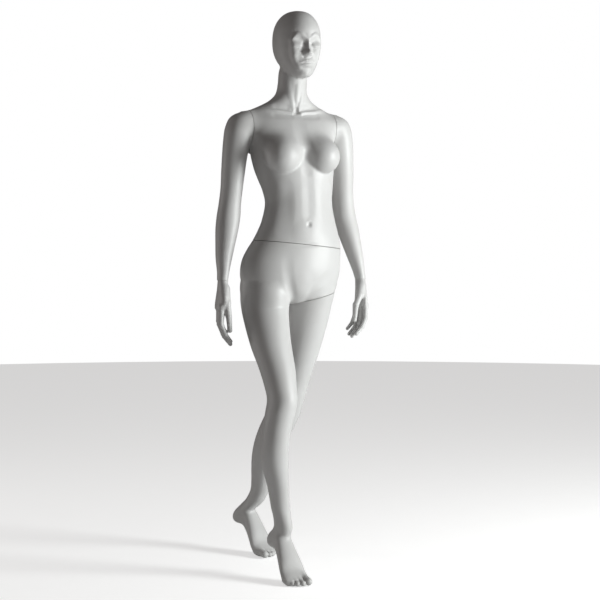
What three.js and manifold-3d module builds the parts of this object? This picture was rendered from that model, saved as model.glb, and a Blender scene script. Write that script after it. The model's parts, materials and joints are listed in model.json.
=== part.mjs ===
// Full body mannequin: a hollow walking figure that takes apart at the waist, the left
// thigh, the shoulders and the wrists. Millimetres, +Z up, the chest faces -Y, +X is the
// figure's own left side, and the floor is at z = 0.
import * as THREE from "three";
import { ParametricGeometry } from "three/addons/geometries/ParametricGeometry.js";
import { mergeVertices } from "three/addons/utils/BufferGeometryUtils.js";
import Module from "manifold-3d";

const wasm = await Module();
wasm.setup();

// ---- driving sizes -------------------------------------------------------------------
const FIGURE_HEIGHT = 1840; // crown to floor, heels raised
const BODY_BREADTH = 1; // share of the standard girth, applied to every width and depth
const SHELL_WALL = 4; // moulded fibreglass wall
const LIMB_WALL = 3.4; // thinner wall of the arms
const GAP = 0.3; // clearance between two pieces that touch
const SEAM_GAP = 0.6; // visible parting line between two shells
const PLATE_THICKNESS = 5; // closing plates in the mouths of the shells
const PLATE_RECESS = 1.2; // how far a closing plate sits inside its mouth

const WAIST_LEVEL = 1073; // seam height on the centre plane
const WAIST_SLOPE = -0.096; // fall of the waist seam towards the figure's left
const THIGH_LEVEL = 885; // thigh seam height on the centre plane
const THIGH_SLOPE = 0.25; // rise of the thigh seam towards the outer hip
const SHOULDER_SEAM = 150; // half distance between the two shoulder seams
const SHOULDER_Y = 45;
const SHOULDER_Z = 1463;
const WRIST_LEVEL = 958;
const CHEST_LEVEL = 1270; // under the armpits

const WAIST_POST_SIDE = 26; // square post under the torso
const WAIST_POST_HEIGHT = 70;
const WAIST_SOCKET_WALL = 3;
const THIGH_PEG_SIDE = 22; // square peg of the left leg
const THIGH_PEG_LENGTH = 48;
const ARM_SPIGOT_SIDE = 15; // square spigot of an arm
const ARM_SPIGOT_LENGTH = 34;
const BUSH_WALL = 4.5; // turning bush round an arm spigot, at its flats
const BUSH_FLANGE = 6; // how far the bush's flange overlaps the plate
const BUSH_FLANGE_THICKNESS = 3;
const HAND_SPIGOT_SIDE = 8; // square spigot of a hand
const HAND_SPIGOT_LENGTH = 24;
const HAND_BUSH_WALL = 2;
const SCREW_HEAD_RADIUS = 4;
const SCREW_HEAD_HEIGHT = 1.6;
const SCREW_SHANK_RADIUS = 2;
const SCREW_GRIP = 3.2; // depth of a screw's shank in its plate
const SUPPORT_BORE_RADIUS = 6.5; // bores that take the rod of a display base
const SUPPORT_TUBE_WALL = 2.5;
const FOOT_BORE_DEPTH = 62;
const CALF_BORE_DEPTH = 40;
const SUPPORT_FLANGE = 4;
const BOSS_WALL = 4; // resin round the calf socket
const FOOT_BORE = [-83, -42, 92.5]; // mouth of the heel socket
const CALF_BORE = [-131, -76, 395]; // mouth of the calf socket

const FRAME_X = -5.87; // middle of the whole figure, where the origin stands
const FRAME_Y = 110.05;
const FRAME_Z = -0.68;
const SLIDE_CLEARANCE = 0.5; // round every square peg in its socket
const FLANGE_OVERHANG = 14; // how far a flange spreads past its post
const FLANGE_THICKNESS = 4;
const PEG_X = 62; // place of the thigh peg
const PEG_Y = 16;
const THIGH_SOCKET_WALL = 3;
const MOUTH_REACH = 62; // limit of the shoulder plates round their centre
const MAGNET_OFFSET = 31;
const MAGNET_RADIUS = 6;
const MAGNET_HEIGHT = 3;
const WRIST_RECESS = 0.8;
const WRIST_PLATE = 4;
const WRIST_FLANGE = 1.6;
const WRIST_LIP = 2;
const HAND_FOOTING = 3; // disc at the root of a hand's spigot
const HAND_FOOTING_RADIUS = 11;

const UP = FIGURE_HEIGHT / 1840; // scale of every height
const OUT = UP * BODY_BREADTH; // scale of every width and depth

// ---- body section tables -------------------------------------------------------------
// One row a level: height, centre x, centre y, reach to the figure's left, to its right,
// to the front, to the back, and squareness (2 is an ellipse).
const TRUNK = [
  [868, 2, 8, 10, 10, 14, 16, 2],
  [880, 2, 8, 42, 42, 44, 60, 2],
  [900, -4, 6, 108, 112, 72, 96, 2.1],
  [925, -9, 4, 146, 150, 88, 116, 2.15],
  [957, -13, 2, 162, 169, 97, 124, 2.15],
  [990, -12, 0, 167, 175, 101, 118, 2.15],
  [1023, -9, -1, 165, 174, 101, 103, 2.15],
  [1056, -3, -2, 160, 165, 98, 90, 2.15],
  [1089, 3, -3, 150, 150, 93, 80, 2.1],
  [1121, 7, -4, 138, 137, 88, 75, 2.1],
  [1154, 9, -4, 127, 125, 84, 73, 2.1],
  [1207, 10, -3, 116, 114, 82, 74, 2.1],
  [1250, 8, 0, 120, 119, 86, 80, 2.15],
  [1285, 5, 6, 127, 128, 92, 86, 2.2],
  [1320, 2, 13, 135, 136, 97, 88, 2.25],
  [1367, 0, 21, 143, 143, 98, 88, 2.3],
  [1410, -2, 26, 147, 147, 92, 86, 2.3],
  [1445, -2, 30, 155, 155, 82, 82, 2.2],
  [1478, -2, 36, 161, 161, 69, 76, 2.05],
  [1500, -2, 41, 153, 153, 58, 66, 1.85],
  [1516, -2, 42, 132, 132, 56, 56, 1.7],
  [1532, -2, 38, 99, 99, 55, 53, 1.7],
  [1548, -2, 33, 72, 72, 53, 50, 1.85],
  [1570, -1, 27, 53, 53, 50, 50, 2],
  [1600, 0, 22, 48, 48, 48, 49, 2],
  [1640, 1, 17, 47, 47, 46, 50, 2],
  [1668, 2, 14, 40, 40, 36, 48, 2],
];
// The head stands on its own axis, so its centres are measured from that axis.
const HEAD = [
  [1617, 0, -42, 13, 13, 17, 20, 2],
  [1622, 0, -38, 27, 27, 30, 28, 2],
  [1634, 0, -28, 41, 41, 47, 42, 2],
  [1650, 0, -17, 52, 52, 64, 56, 2.05],
  [1670, 0, -6, 62, 62, 78, 70, 2.1],
  [1692, 0, 0, 69, 69, 85, 82, 2.1],
  [1716, 0, 0, 74, 74, 88, 92, 2.1],
  [1745, 0, 0, 75, 75, 92, 96, 2.1],
  [1776, 0, 0, 72, 72, 91, 94, 2.05],
  [1802, 0, 0, 63, 63, 80, 84, 2],
  [1822, 0, 0, 48, 48, 62, 66, 2],
  [1834, 0, 0, 30, 30, 39, 43, 2],
  [1840, 0, 0, 6, 6, 8, 8, 2],
];
const HEAD_AXIS = [7, 3];
const RIGHT_LEG = [
  [108, -79, -58, 13, 13, 22, 18, 2],
  [130, -78, -63, 23, 23, 36, 26, 2],
  [165, -78, -76, 28, 28, 40, 31, 2],
  [200, -86, -88, 28, 28, 33, 33, 2],
  [230, -94, -95, 30, 30, 31, 37, 2],
  [260, -101, -103, 31, 31, 32, 42, 2],
  [300, -110, -113, 33, 33, 36, 48, 2],
  [340, -120, -122, 37, 37, 40, 54, 2],
  [395, -131, -132, 43, 43, 45, 60, 2],
  [450, -134, -142, 44, 44, 48, 59, 2],
  [500, -131, -150, 45, 45, 50, 52, 2.05],
  [545, -124, -156, 47, 47, 52, 48, 2.1],
  [585, -118, -156, 47, 47, 56, 48, 2.1],
  [625, -119, -146, 50, 50, 57, 53, 2.05],
  [680, -120, -123, 57, 57, 62, 63, 2],
  [740, -124, -92, 63, 64, 69, 72, 2],
  [800, -123, -60, 68, 70, 76, 80, 2],
  [860, -117, -28, 73, 76, 80, 92, 2],
  [905, -107, -8, 77, 80, 83, 104, 2],
  [950, -97, 2, 70, 80, 78, 106, 2],
  [985, -90, 6, 50, 50, 50, 70, 2],
];
const LEFT_LEG = [
  [124, -22, 385, 13, 13, 22, 18, 2],
  [142, -18, 378, 23, 23, 35, 27, 2],
  [172, 2, 356, 30, 30, 44, 36, 2],
  [195, 9, 336, 31, 31, 41, 38, 2],
  [222, 13, 317, 31, 31, 38, 40, 2],
  [258, 9, 296, 32, 32, 39, 46, 2],
  [300, 5, 273, 36, 36, 44, 57, 2],
  [350, 2, 244, 42, 42, 52, 66, 2],
  [400, 8, 216, 50, 50, 63, 74, 2],
  [450, 19, 190, 55, 55, 72, 76, 2],
  [500, 31, 164, 55, 55, 74, 73, 2.05],
  [550, 36, 137, 53, 53, 68, 66, 2.1],
  [600, 44, 116, 53, 53, 62, 62, 2],
  [650, 49, 98, 56, 56, 63, 65, 2],
  [700, 55, 82, 60, 60, 66, 70, 2],
  [760, 59, 63, 66, 66, 72, 77, 2],
  [820, 61, 44, 72, 72, 78, 85, 2],
  [870, 61, 27, 76, 76, 81, 95, 2],
  [910, 61, 12, 79, 79, 82, 104, 2],
  [950, 66, 8, 78, 74, 72, 100, 2],
  [985, 76, 8, 50, 50, 50, 70, 2],
];
// Mirrored for the right side.
const ARM = [
  [938, 250, 12, 13, 13, 17, 17, 2],
  [958, 250, 16, 17, 17, 22, 21, 2],
  [985, 246, 21, 19, 19, 26, 25, 2],
  [1030, 239, 32, 26, 26, 32, 31, 2],
  [1080, 229, 43, 32, 32, 38, 37, 2],
  [1125, 220, 52, 37, 37, 41, 40, 2],
  [1165, 212, 58, 38, 38, 40, 41, 2.1],
  [1205, 207, 59, 36, 36, 38, 40, 2.05],
  [1255, 202, 56, 36, 36, 39, 39, 2],
  [1310, 198, 52, 39, 38, 42, 41, 2],
  [1365, 193, 49, 42, 41, 44, 43, 2],
  [1410, 186, 47, 46, 45, 47, 46, 2],
  [1450, 177, 46, 50, 46, 49, 47, 2],
  [1482, 168, 45, 48, 46, 44, 42, 2],
  [1500, 157, 45, 40, 42, 33, 32, 2],
  [1510, 148, 45, 24, 30, 20, 20, 2],
];
// Foot sections across its length: forward reach from the heel's axis, half width towards
// the inner side and the outer side, sole height and instep height.
const FOOT = [
  [-38, 8, 8, 105, 116],
  [-33, 19, 19, 97, 130],
  [-18, 26, 26, 92, 146],
  [4, 28, 28, 91, 160],
  [26, 27, 28, 84, 170],
  [50, 28, 30, 62, 152],
  [76, 33, 35, 33, 119],
  [100, 40, 40, 9, 84],
  [122, 43, 43, 0, 48],
  [142, 41, 42, 0, 32],
  [155, 33, 35, 2, 25],
  [161, 20, 24, 6, 19],
];

// ---- surface helpers -----------------------------------------------------------------
// Catmull-Rom value of every column at place t in rows.
function sectionAt(rows, t) {
  const i = Math.min(Math.floor(t), rows.length - 2);
  const f = t - i;
  const p = (k) => rows[Math.max(0, Math.min(rows.length - 1, k))];
  const [a, b, c, d] = [p(i - 1), p(i), p(i + 1), p(i + 2)];
  return b.map((_, k) => {
    const m0 = (c[k] - a[k]) / 2;
    const m1 = (d[k] - b[k]) / 2;
    const f2 = f * f;
    const f3 = f2 * f;
    return (2 * f3 - 3 * f2 + 1) * b[k] + (f3 - 2 * f2 + f) * m0
      + (3 * f2 - 2 * f3) * c[k] + (f3 - f2) * m1;
  });
}

function ringPoint(row, angle) {
  const [z, x, y, left, right, front, back, square] = row;
  const c = Math.cos(angle);
  const s = Math.sin(angle);
  const e = 2 / square;
  const px = Math.sign(c) * Math.abs(c) ** e * (c > 0 ? left : right);
  const py = Math.sign(s) * Math.abs(s) ** e * (s > 0 ? back : front);
  return new THREE.Vector3((x + px) * OUT, (y + py) * OUT, z * UP);
}

// Moves a surface function inwards by inset along its own normal.
function insetSurface(place, inset, u, v) {
  const h = 1e-3;
  const p = place(u, v);
  if (!inset) return p;
  const pu = place(u + h, v).sub(place(u - h, v));
  const pv = place(u, Math.min(1, v + h)).sub(place(u, Math.max(0, v - h)));
  const n = pu.cross(pv);
  if (n.lengthSq() < 1e-12) return p;
  return p.addScaledVector(n.normalize(), -inset);
}

// A closed solid through rows, moved inwards by inset; from and to pick a stretch of rows.
function limb(rows, slices, stacks, inset = 0, from = 0, to = rows.length - 1) {
  const place = (u, v) =>
    ringPoint(sectionAt(rows, from + (to - from) * v), u * 2 * Math.PI);
  return solid(tubeOf(place, slices, stacks, inset));
}

// Tube with its two ends drawn together on their own centres.
function tubeOf(place, slices, stacks, inset = 0) {
  const centre = (v, side) => {
    const a = insetSurface(place, inset, 0, v);
    const b = insetSurface(place, inset, 0.5, v);
    return a.add(b).multiplyScalar(0.5);
  };
  return new ParametricGeometry((u, v, target) => {
    const row = Math.round(v * (stacks + 2));
    if (row === 0) target.copy(centre(0));
    else if (row === stacks + 2) target.copy(centre(1));
    else target.copy(insetSurface(place, inset, u, (row - 1) / stacks));
  }, slices, stacks + 2);
}

function solid(geometry) {
  const g = geometry.index ? geometry : mergeVertices(geometry);
  g.deleteAttribute("normal");
  g.deleteAttribute("uv");
  const merged = mergeVertices(g, 1e-3);
  const index = merged.index.array;
  const kept = [];
  for (let i = 0; i < index.length; i += 3) {
    const [a, b, c] = [index[i], index[i + 1], index[i + 2]];
    if (a !== b && b !== c && c !== a) kept.push(a, b, c);
  }
  const vertProperties = new Float32Array(merged.attributes.position.array);
  const make = () => new wasm.Manifold(
    new wasm.Mesh({ numProp: 3, vertProperties, triVerts: new Uint32Array(kept) }),
  );
  const made = make();
  if (made.volume() > 0) return made;
  for (let i = 0; i < kept.length; i += 3) [kept[i], kept[i + 1]] = [kept[i + 1], kept[i]];
  return make();
}

const joined = (list) => list.reduce((a, b) => a.add(b));

function ball(x, y, z, rx, ry, rz, turn = 0, detail = 20) {
  const g = new THREE.SphereGeometry(1, detail, Math.round(detail * 0.6));
  g.rotateX(Math.PI / 2);
  g.scale(rx * OUT, ry * OUT, rz * UP);
  g.rotateZ(THREE.MathUtils.degToRad(turn));
  g.translate(x * OUT, y * OUT, z * UP);
  return solid(g);
}

// Round bar that tapers between two round ends.
function finger(p, rp, q, rq, sides = 6) {
  const a = new THREE.Vector3(p[0] * OUT, p[1] * OUT, p[2] * UP);
  const b = new THREE.Vector3(q[0] * OUT, q[1] * OUT, q[2] * UP);
  const length = a.distanceTo(b);
  const profile = [];
  const steps = 2;
  for (let i = 0; i <= steps; i++) {
    const t = (i / steps) * Math.PI / 2;
    profile.push(new THREE.Vector2(rp * OUT * Math.sin(t), -rp * OUT * Math.cos(t)));
  }
  for (let i = 0; i <= steps; i++) {
    const t = (i / steps) * Math.PI / 2;
    profile.push(new THREE.Vector2(rq * OUT * Math.cos(t), length + rq * OUT * Math.sin(t)));
  }
  profile[0].x = 0;
  profile[profile.length - 1].x = 0;
  const g = new THREE.LatheGeometry(profile, sides);
  const turn = new THREE.Quaternion().setFromUnitVectors(
    new THREE.Vector3(0, 1, 0), b.clone().sub(a).normalize(),
  );
  g.applyQuaternion(turn);
  g.translate(a.x, a.y, a.z);
  return solid(g);
}

// Frame of a fitting: origin in mm and the direction it faces.
function seat(origin, facing) {
  const z = new THREE.Vector3(...facing).normalize();
  const side = Math.abs(z.y) > 0.9 ? new THREE.Vector3(1, 0, 0) : new THREE.Vector3(0, 1, 0);
  const x = side.clone().cross(z).normalize();
  const y = z.clone().cross(x);
  return new THREE.Matrix4().makeBasis(x, y, z).setPosition(...origin);
}

const placed = (g, frame) => solid(g.applyMatrix4(frame));

// Box or rod standing on the frame's face from height low to height high.
function bar(frame, width, depth, low, high) {
  const g = new THREE.BoxGeometry(width, depth, high - low);
  g.translate(0, 0, (low + high) / 2);
  return placed(g, frame);
}

function rod(frame, radius, low, high, sides = 20) {
  const g = new THREE.CylinderGeometry(radius, radius, high - low, sides);
  g.rotateX(Math.PI / 2);
  g.translate(0, 0, (low + high) / 2);
  return placed(g, frame);
}

const HUGE = 4000;
const above = (frame, height = 0) => bar(frame, HUGE, HUGE, height, HUGE);

// ---- body masses ---------------------------------------------------------------------
const headFrame = new THREE.Matrix4()
  .setPosition(HEAD_AXIS[0] * OUT, HEAD_AXIS[1] * OUT, 0);

function headSolid(inset) {
  const place = (u, v) => ringPoint(sectionAt(HEAD, (HEAD.length - 1) * v), u * 2 * Math.PI);
  const skull = tubeOf(place, inset ? 12 : 20, inset ? 8 : 15, inset);
  const parts = [placed(skull, headFrame)];
  if (!inset) {
    const nose = new THREE.SphereGeometry(1, 8, 6);
    nose.rotateX(Math.PI / 2);
    nose.scale(12 * OUT, 18 * OUT, 24 * UP);
    nose.translate(0, -82 * OUT, 1706 * UP);
    parts.push(placed(nose, headFrame));
  }
  return joined(parts);
}

function trunkSolid(inset) {
  const slices = inset ? 20 : 28;
  const parts = [limb(TRUNK, slices, inset ? 14 : 28, inset, inset ? 3 : 0)];
  if (!inset) {
    for (const side of [-1, 1]) {
      parts.push(ball(side * 71 - 1, -63, 1358, 60, 62, 56, 0, 16));
      parts.push(ball(side * 70 - 10, 52, 932, 88, 84, 92, 0, 16));
    }
  }
  return joined(parts);
}

const shoulderSolid = (side, inset) =>
  ball(side * 155, SHOULDER_Y, SHOULDER_Z, 57 - inset, 49 - inset, 46 - inset, 0, 16);

function mirrored(rows) {
  return rows.map(([z, x, y, l, r, f, b, q]) => [z, -x, y, r, l, f, b, q]);
}

const armRows = (side) => (side > 0 ? ARM : mirrored(ARM));
const armSolid = (side, inset) =>
  limb(armRows(side), inset ? 12 : 18, inset ? 10 : 20, inset);
const legSolid = (rows, inset) =>
  limb(rows, inset ? 12 : 20, inset ? 12 : 24, inset, inset ? 4 : 0);

function footSolid(x, y, lift, side, turn) {
  const place = (u, v) => {
    const [f, inner, outer, low, high] = sectionAt(FOOT, (FOOT.length - 1) * v);
    const a = u * 2 * Math.PI;
    const c = Math.cos(a);
    const s = Math.sin(a);
    const reach = side * c > 0 ? outer : inner;
    const px = Math.sign(c) * Math.abs(c) ** 0.85 * reach;
    const pz = (low + high) / 2 + Math.sign(s) * Math.abs(s) ** 0.8 * (high - low) / 2;
    return new THREE.Vector3(px * OUT, -f * OUT, pz * UP);
  };
  const parts = [solid(tubeOf(place, 16, 12))];
  TOES.forEach(([across, reach, radius]) => {
    const tx = -side * across;
    parts.push(finger(
      [tx, -136, radius + 7], radius + 2,
      [tx - side * 1, -reach, radius + 1.5], radius,
    ));
  });
  const frame = new THREE.Matrix4().makeRotationZ(THREE.MathUtils.degToRad(turn));
  frame.setPosition(x * OUT, y * OUT, lift * UP);
  return joined(parts).transform(frame.elements);
}
// Toes from the big toe outwards: place towards the inner side, forward reach, radius.
const TOES = [
  [27, 168, 12],
  [7, 169, 8.5],
  [-9, 162, 8],
  [-22, 153, 7.5],
  [-33, 143, 7],
];

// Palm sections of a left hand that hangs straight down.
const PALM = [
  [868, 249, 6, 11, 11, 30, 36, 2],
  [884, 249, 6, 14, 14, 36, 38, 2],
  [905, 249, 7, 15, 15, 35, 34, 2],
  [930, 249, 11, 15, 15, 27, 27, 2],
  [958, 249, 16, 16, 16, 22, 21, 2],
  [975, 247, 18, 16, 16, 22, 21, 2],
];
// Fingers from the little finger to the first: place across the knuckles, share of the
// longest finger's length, radius.
const FINGERS = [
  [30, 0.78, 7.2],
  [12, 0.94, 8],
  [-6, 1, 8.4],
  [-24, 0.92, 8.2],
];
const KNUCKLE_Z = 872;
const KNUCKLE_TURN = 0.22; // how far the little finger lies inside the first
// Each hand: outward lean of its knuckles, and the joints of the longest finger and of the
// thumb. A finger's joints are outward and upward from its knuckle.
const RIGHT_HAND = {
  lean: 13,
  curl: [[0, 0], [3, -58], [-10, -93], [-29, -118]],
  thumb: [[247, -2, 930, 15], [249, -20, 885, 12], [247, -30, 843, 9.5], [245, -34, 799, 7.5]],
};
const LEFT_HAND = {
  lean: -2,
  curl: [[0, 0], [-4, -48], [-20, -80], [-44, -103]],
  thumb: [[243, -2, 935, 15], [227, -22, 905, 12], [209, -31, 872, 9.5], [202, -34, 823, 7]],
};

function handSolid(side, { lean, curl, thumb }) {
  const at = ([x, y, z]) => [side * x, y, z];
  const leaning = (z) => lean * Math.max(0, Math.min(1, (WRIST_LEVEL - z) / 90));
  const rows = PALM.map(([z, x, ...rest]) => [z, x + leaning(z), ...rest]);
  const parts = [limb(side > 0 ? rows : mirrored(rows), 12, 8)];
  FINGERS.forEach(([across, share, radius]) => {
    const x = 249 + lean - KNUCKLE_TURN * across;
    const joints = curl.map(([out, up], i) => [
      x + out * share, 6 + across - 4 * i * share, KNUCKLE_Z + up * share,
    ]);
    const radii = [radius + 1.2, radius + 0.4, radius, radius - 1.2];
    for (let i = 0; i < 3; i++) {
      parts.push(finger(at(joints[i]), radii[i], at(joints[i + 1]), radii[i + 1]));
    }
  });
  for (let i = 0; i < 3; i++) {
    parts.push(finger(at(thumb[i]), thumb[i][3], at(thumb[i + 1]), thumb[i + 1][3]));
  }
  return joined(parts);
}

// ---- seams ---------------------------------------------------------------------------
const waist = seat([0, 0, WAIST_LEVEL * UP], [-WAIST_SLOPE, 0, 1]);
const thigh = seat([0, 0, THIGH_LEVEL * UP], [THIGH_SLOPE, 0, -1]);
const aboveWaist = above(waist, SEAM_GAP / 2);
const belowWaist = bar(waist, HUGE, HUGE, -HUGE, -SEAM_GAP / 2);
const belowThigh = above(thigh, SEAM_GAP / 2);
const overThigh = above(thigh, -SEAM_GAP / 2);
const shoulderSeat = (side) =>
  seat([side * SHOULDER_SEAM * OUT, SHOULDER_Y * OUT, SHOULDER_Z * UP], [side, 0, 0]);
const wristSeat = (side) => seat([side * 249 * OUT, 16 * OUT, WRIST_LEVEL * UP], [0, 0, -1]);

// ---- shells --------------------------------------------------------------------------
const group = new THREE.Group();
const FIBREGLASS = ["#c9c7c5", 0.62, 0];
const BOARD = ["#8d8a86", 0.8, 0];
const STEEL = ["#a9abae", 0.35, 0.9];
const DARK_STEEL = ["#5d5f63", 0.45, 0.85];
const NYLON = ["#34353a", 0.55, 0];

function add(name, body, [colour, roughness, metalness]) {
  const mesh = body.getMesh();
  const g = new THREE.BufferGeometry();
  g.setAttribute("position", new THREE.BufferAttribute(mesh.vertProperties, 3));
  g.setIndex(new THREE.BufferAttribute(mesh.triVerts, 1));
  const material = new THREE.MeshStandardMaterial({ color: colour, roughness, metalness });
  const node = new THREE.Mesh(g, material);
  node.name = name;
  group.add(node);
}

const sides = [[1, "left"], [-1, "right"]];
const trunk = trunkSolid(0);
const trunkHollow = joined([
  trunkSolid(SHELL_WALL),
  headSolid(SHELL_WALL + 1),
  shoulderSolid(1, SHELL_WALL),
  shoulderSolid(-1, SHELL_WALL),
]);
// The shoulder seams bound the chest alone; the waist below may be wider than they are.
const chestBase = above(seat([0, 0, CHEST_LEVEL * UP], [0, 0, -1]));
const innerShoulders = bar(
  seat([0, 0, 0], [1, 0, 0]), HUGE, HUGE,
  -SHOULDER_SEAM * OUT + SEAM_GAP / 2, SHOULDER_SEAM * OUT - SEAM_GAP / 2,
).add(chestBase);
const torsoOuter = joined([trunk, headSolid(0), shoulderSolid(1, 0), shoulderSolid(-1, 0)])
  .intersect(aboveWaist).intersect(innerShoulders);
add("torso_shell", torsoOuter.subtract(trunkHollow), FIBREGLASS);

// Pelvis and supporting leg are one moulding; the left thigh's stub belongs to it too.
const rightLeg = legSolid(RIGHT_LEG, 0);
const leftLeg = legSolid(LEFT_LEG, 0);
const leftHollow = legSolid(LEFT_LEG, SHELL_WALL);
const pelvisHollow = joined([trunkSolid(SHELL_WALL), leftHollow])
  .subtract(belowThigh);
const rightHollow = legSolid(RIGHT_LEG, SHELL_WALL);
const pelvisOuter = joined([trunk, leftLeg]).intersect(belowWaist).subtract(overThigh);
// ---- supports for a display base -------------------------------------------------------
const tubeRadius = SUPPORT_BORE_RADIUS + SUPPORT_TUBE_WALL;
const footSeat = seat([FOOT_BORE[0] * OUT, FOOT_BORE[1] * OUT, FOOT_BORE[2] * UP], [0, 0, -1]);
const calfSeat = seat([CALF_BORE[0] * OUT, CALF_BORE[1] * OUT, CALF_BORE[2] * UP], [0, 1, 0]);

// Flanged blind tube whose mouth lies on its seat's face.
function supportTube(frame, depth) {
  const tube = rod(frame, tubeRadius, -depth - SUPPORT_TUBE_WALL, 0);
  const rim = rod(frame, tubeRadius + SUPPORT_FLANGE, -SUPPORT_TUBE_WALL, 0);
  return tube.add(rim).subtract(rod(frame, SUPPORT_BORE_RADIUS, -depth, SUPPORT_TUBE_WALL));
}

// Room for that tube, open to the outside.
function supportRoom(frame, depth) {
  const room = rod(frame, tubeRadius + GAP, -depth - SUPPORT_TUBE_WALL - GAP, HUGE / 20);
  const rim = rod(frame, tubeRadius + SUPPORT_FLANGE + GAP, -SUPPORT_TUBE_WALL - GAP, HUGE / 20);
  return room.add(rim);
}

// Solid boss round the tube, where the leg itself is hollow.
const boss = (frame, depth) => rod(
  frame, tubeRadius + SUPPORT_FLANGE + BOSS_WALL,
  -depth - SUPPORT_TUBE_WALL - BOSS_WALL, SUPPORT_FLANGE * 5,
);

const rightOuter = joined([rightLeg, footSolid(-82, -38, 0, -1, 2)]);
const calfBoss = boss(calfSeat, CALF_BORE_DEPTH).intersect(rightLeg);
const supportLeg = joined([pelvisOuter, rightOuter])
  .subtract(joined([pelvisHollow, rightHollow]))
  .add(calfBoss)
  .subtract(supportRoom(footSeat, FOOT_BORE_DEPTH))
  .subtract(supportRoom(calfSeat, CALF_BORE_DEPTH));
add("pelvis_right_leg_shell", supportLeg, FIBREGLASS);
add("foot_socket", supportTube(footSeat, FOOT_BORE_DEPTH), STEEL);
add("calf_socket", supportTube(calfSeat, CALF_BORE_DEPTH), STEEL);

const leftOuter = joined([leftLeg, footSolid(-18, 398, 1, 1, 13)]).intersect(belowThigh);
add("left_leg_shell", leftOuter.subtract(leftHollow), FIBREGLASS);

// ---- keyed plate joints -----------------------------------------------------------------
// Flat-headed screw sunk into the face at height top of the frame, and the room it needs.
function screwAt(frame, x, y, top, inwards) {
  const place = frame.clone().multiply(new THREE.Matrix4().makeTranslation(x, y, 0));
  const low = (a, b) => (inwards > 0 ? [top - b, top - a] : [top + a, top + b]);
  const cut = (r, a, b) => rod(place, r, ...low(a, b), 8);
  const screw = cut(SCREW_HEAD_RADIUS, 0.1, SCREW_HEAD_HEIGHT)
    .add(cut(SCREW_SHANK_RADIUS, 0.1, SCREW_GRIP + PLATE_THICKNESS));
  const room = cut(SCREW_HEAD_RADIUS + GAP, -1, SCREW_HEAD_HEIGHT + GAP)
    .add(cut(SCREW_SHANK_RADIUS + GAP, -1, SCREW_GRIP + PLATE_THICKNESS + GAP));
  return { screw, room };
}

// A closing plate that fills a mouth between two heights of its seat.
const closing = (frame, low, high, mouth) => bar(frame, HUGE, HUGE, low, high).intersect(mouth);

// Square post on the near side of a seam and square socket on the far side.
function keyedJoint(frame, names, sizes, nearMouth, farMouth) {
  const { side, length, wall, pitch } = sizes;
  const nearTop = -PLATE_RECESS;
  const nearLow = nearTop - PLATE_THICKNESS;
  const farLow = PLATE_RECESS;
  const farTop = farLow + PLATE_THICKNESS;
  const flange = side + 2 * FLANGE_OVERHANG;
  const hole = side + 2 * GAP;
  const bore = side + 2 * SLIDE_CLEARANCE;
  const tube = bore + 2 * wall;
  const screws = [];
  let nearPlate = closing(frame, nearLow, nearTop, nearMouth)
    .subtract(bar(frame, hole, hole, nearLow - 1, nearTop + 1));
  let post = bar(frame, side, side, nearLow - GAP - FLANGE_THICKNESS, length)
    .add(bar(frame, flange, flange, nearLow - GAP - FLANGE_THICKNESS, nearLow - GAP));
  let farPlate = closing(frame, farLow, farTop, farMouth)
    .subtract(bar(frame, tube + 2 * GAP, tube + 2 * GAP, farLow - 1, farTop + 1));
  const socketFlange = tube + 2 * FLANGE_OVERHANG;
  let socket = bar(frame, tube, tube, farLow, length + SLIDE_CLEARANCE + wall)
    .add(bar(frame, socketFlange, socketFlange, farTop + GAP, farTop + GAP + FLANGE_THICKNESS))
    .subtract(bar(frame, bore, bore, farLow - 1, length + SLIDE_CLEARANCE));
  for (const at of [-1, 1]) {
    const near = screwAt(frame, at * pitch, 0, nearTop, 1);
    const far = screwAt(frame, 0, at * (tube / 2 + FLANGE_OVERHANG / 2), farLow, -1);
    nearPlate = nearPlate.subtract(near.room);
    post = post.subtract(near.room);
    farPlate = farPlate.subtract(far.room);
    socket = socket.subtract(far.room);
    screws.push(near.screw, far.screw);
  }
  add(names.nearPlate, nearPlate, BOARD);
  add(names.post, post, STEEL);
  add(names.farPlate, farPlate, BOARD);
  add(names.socket, socket, STEEL);
  screws.forEach((screw, i) => {
    const word = i % 2 ? names.farScrew : names.nearScrew;
    add(word + "_" + (i < 2 ? 1 : 2), screw, DARK_STEEL);
  });
}

keyedJoint(waist, {
  nearPlate: "waist_lower_plate",
  post: "waist_post",
  farPlate: "waist_upper_plate",
  socket: "waist_socket",
  nearScrew: "waist_lower_screw",
  farScrew: "waist_upper_screw",
}, {
  side: WAIST_POST_SIDE,
  length: WAIST_POST_HEIGHT,
  wall: WAIST_SOCKET_WALL,
  pitch: WAIST_POST_SIDE / 2 + FLANGE_OVERHANG / 2,
}, trunkSolid(SHELL_WALL + GAP), trunkSolid(SHELL_WALL + GAP));

// The left leg carries the peg, and the pelvis the socket; this seat faces down the leg.
const pegSeat = seat([PEG_X * OUT, PEG_Y * OUT, THIGH_LEVEL * UP + THIGH_SLOPE * PEG_X * OUT],
  [-THIGH_SLOPE, 0, 1]);
const leftMouth = legSolid(LEFT_LEG, SHELL_WALL + GAP);
keyedJoint(pegSeat, {
  nearPlate: "thigh_lower_plate",
  post: "thigh_peg",
  farPlate: "thigh_upper_plate",
  socket: "thigh_socket",
  nearScrew: "thigh_lower_screw",
  farScrew: "thigh_upper_screw",
}, {
  side: THIGH_PEG_SIDE,
  length: THIGH_PEG_LENGTH,
  wall: THIGH_SOCKET_WALL,
  pitch: THIGH_PEG_SIDE / 2 + FLANGE_OVERHANG / 2,
}, leftMouth, leftMouth);

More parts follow.
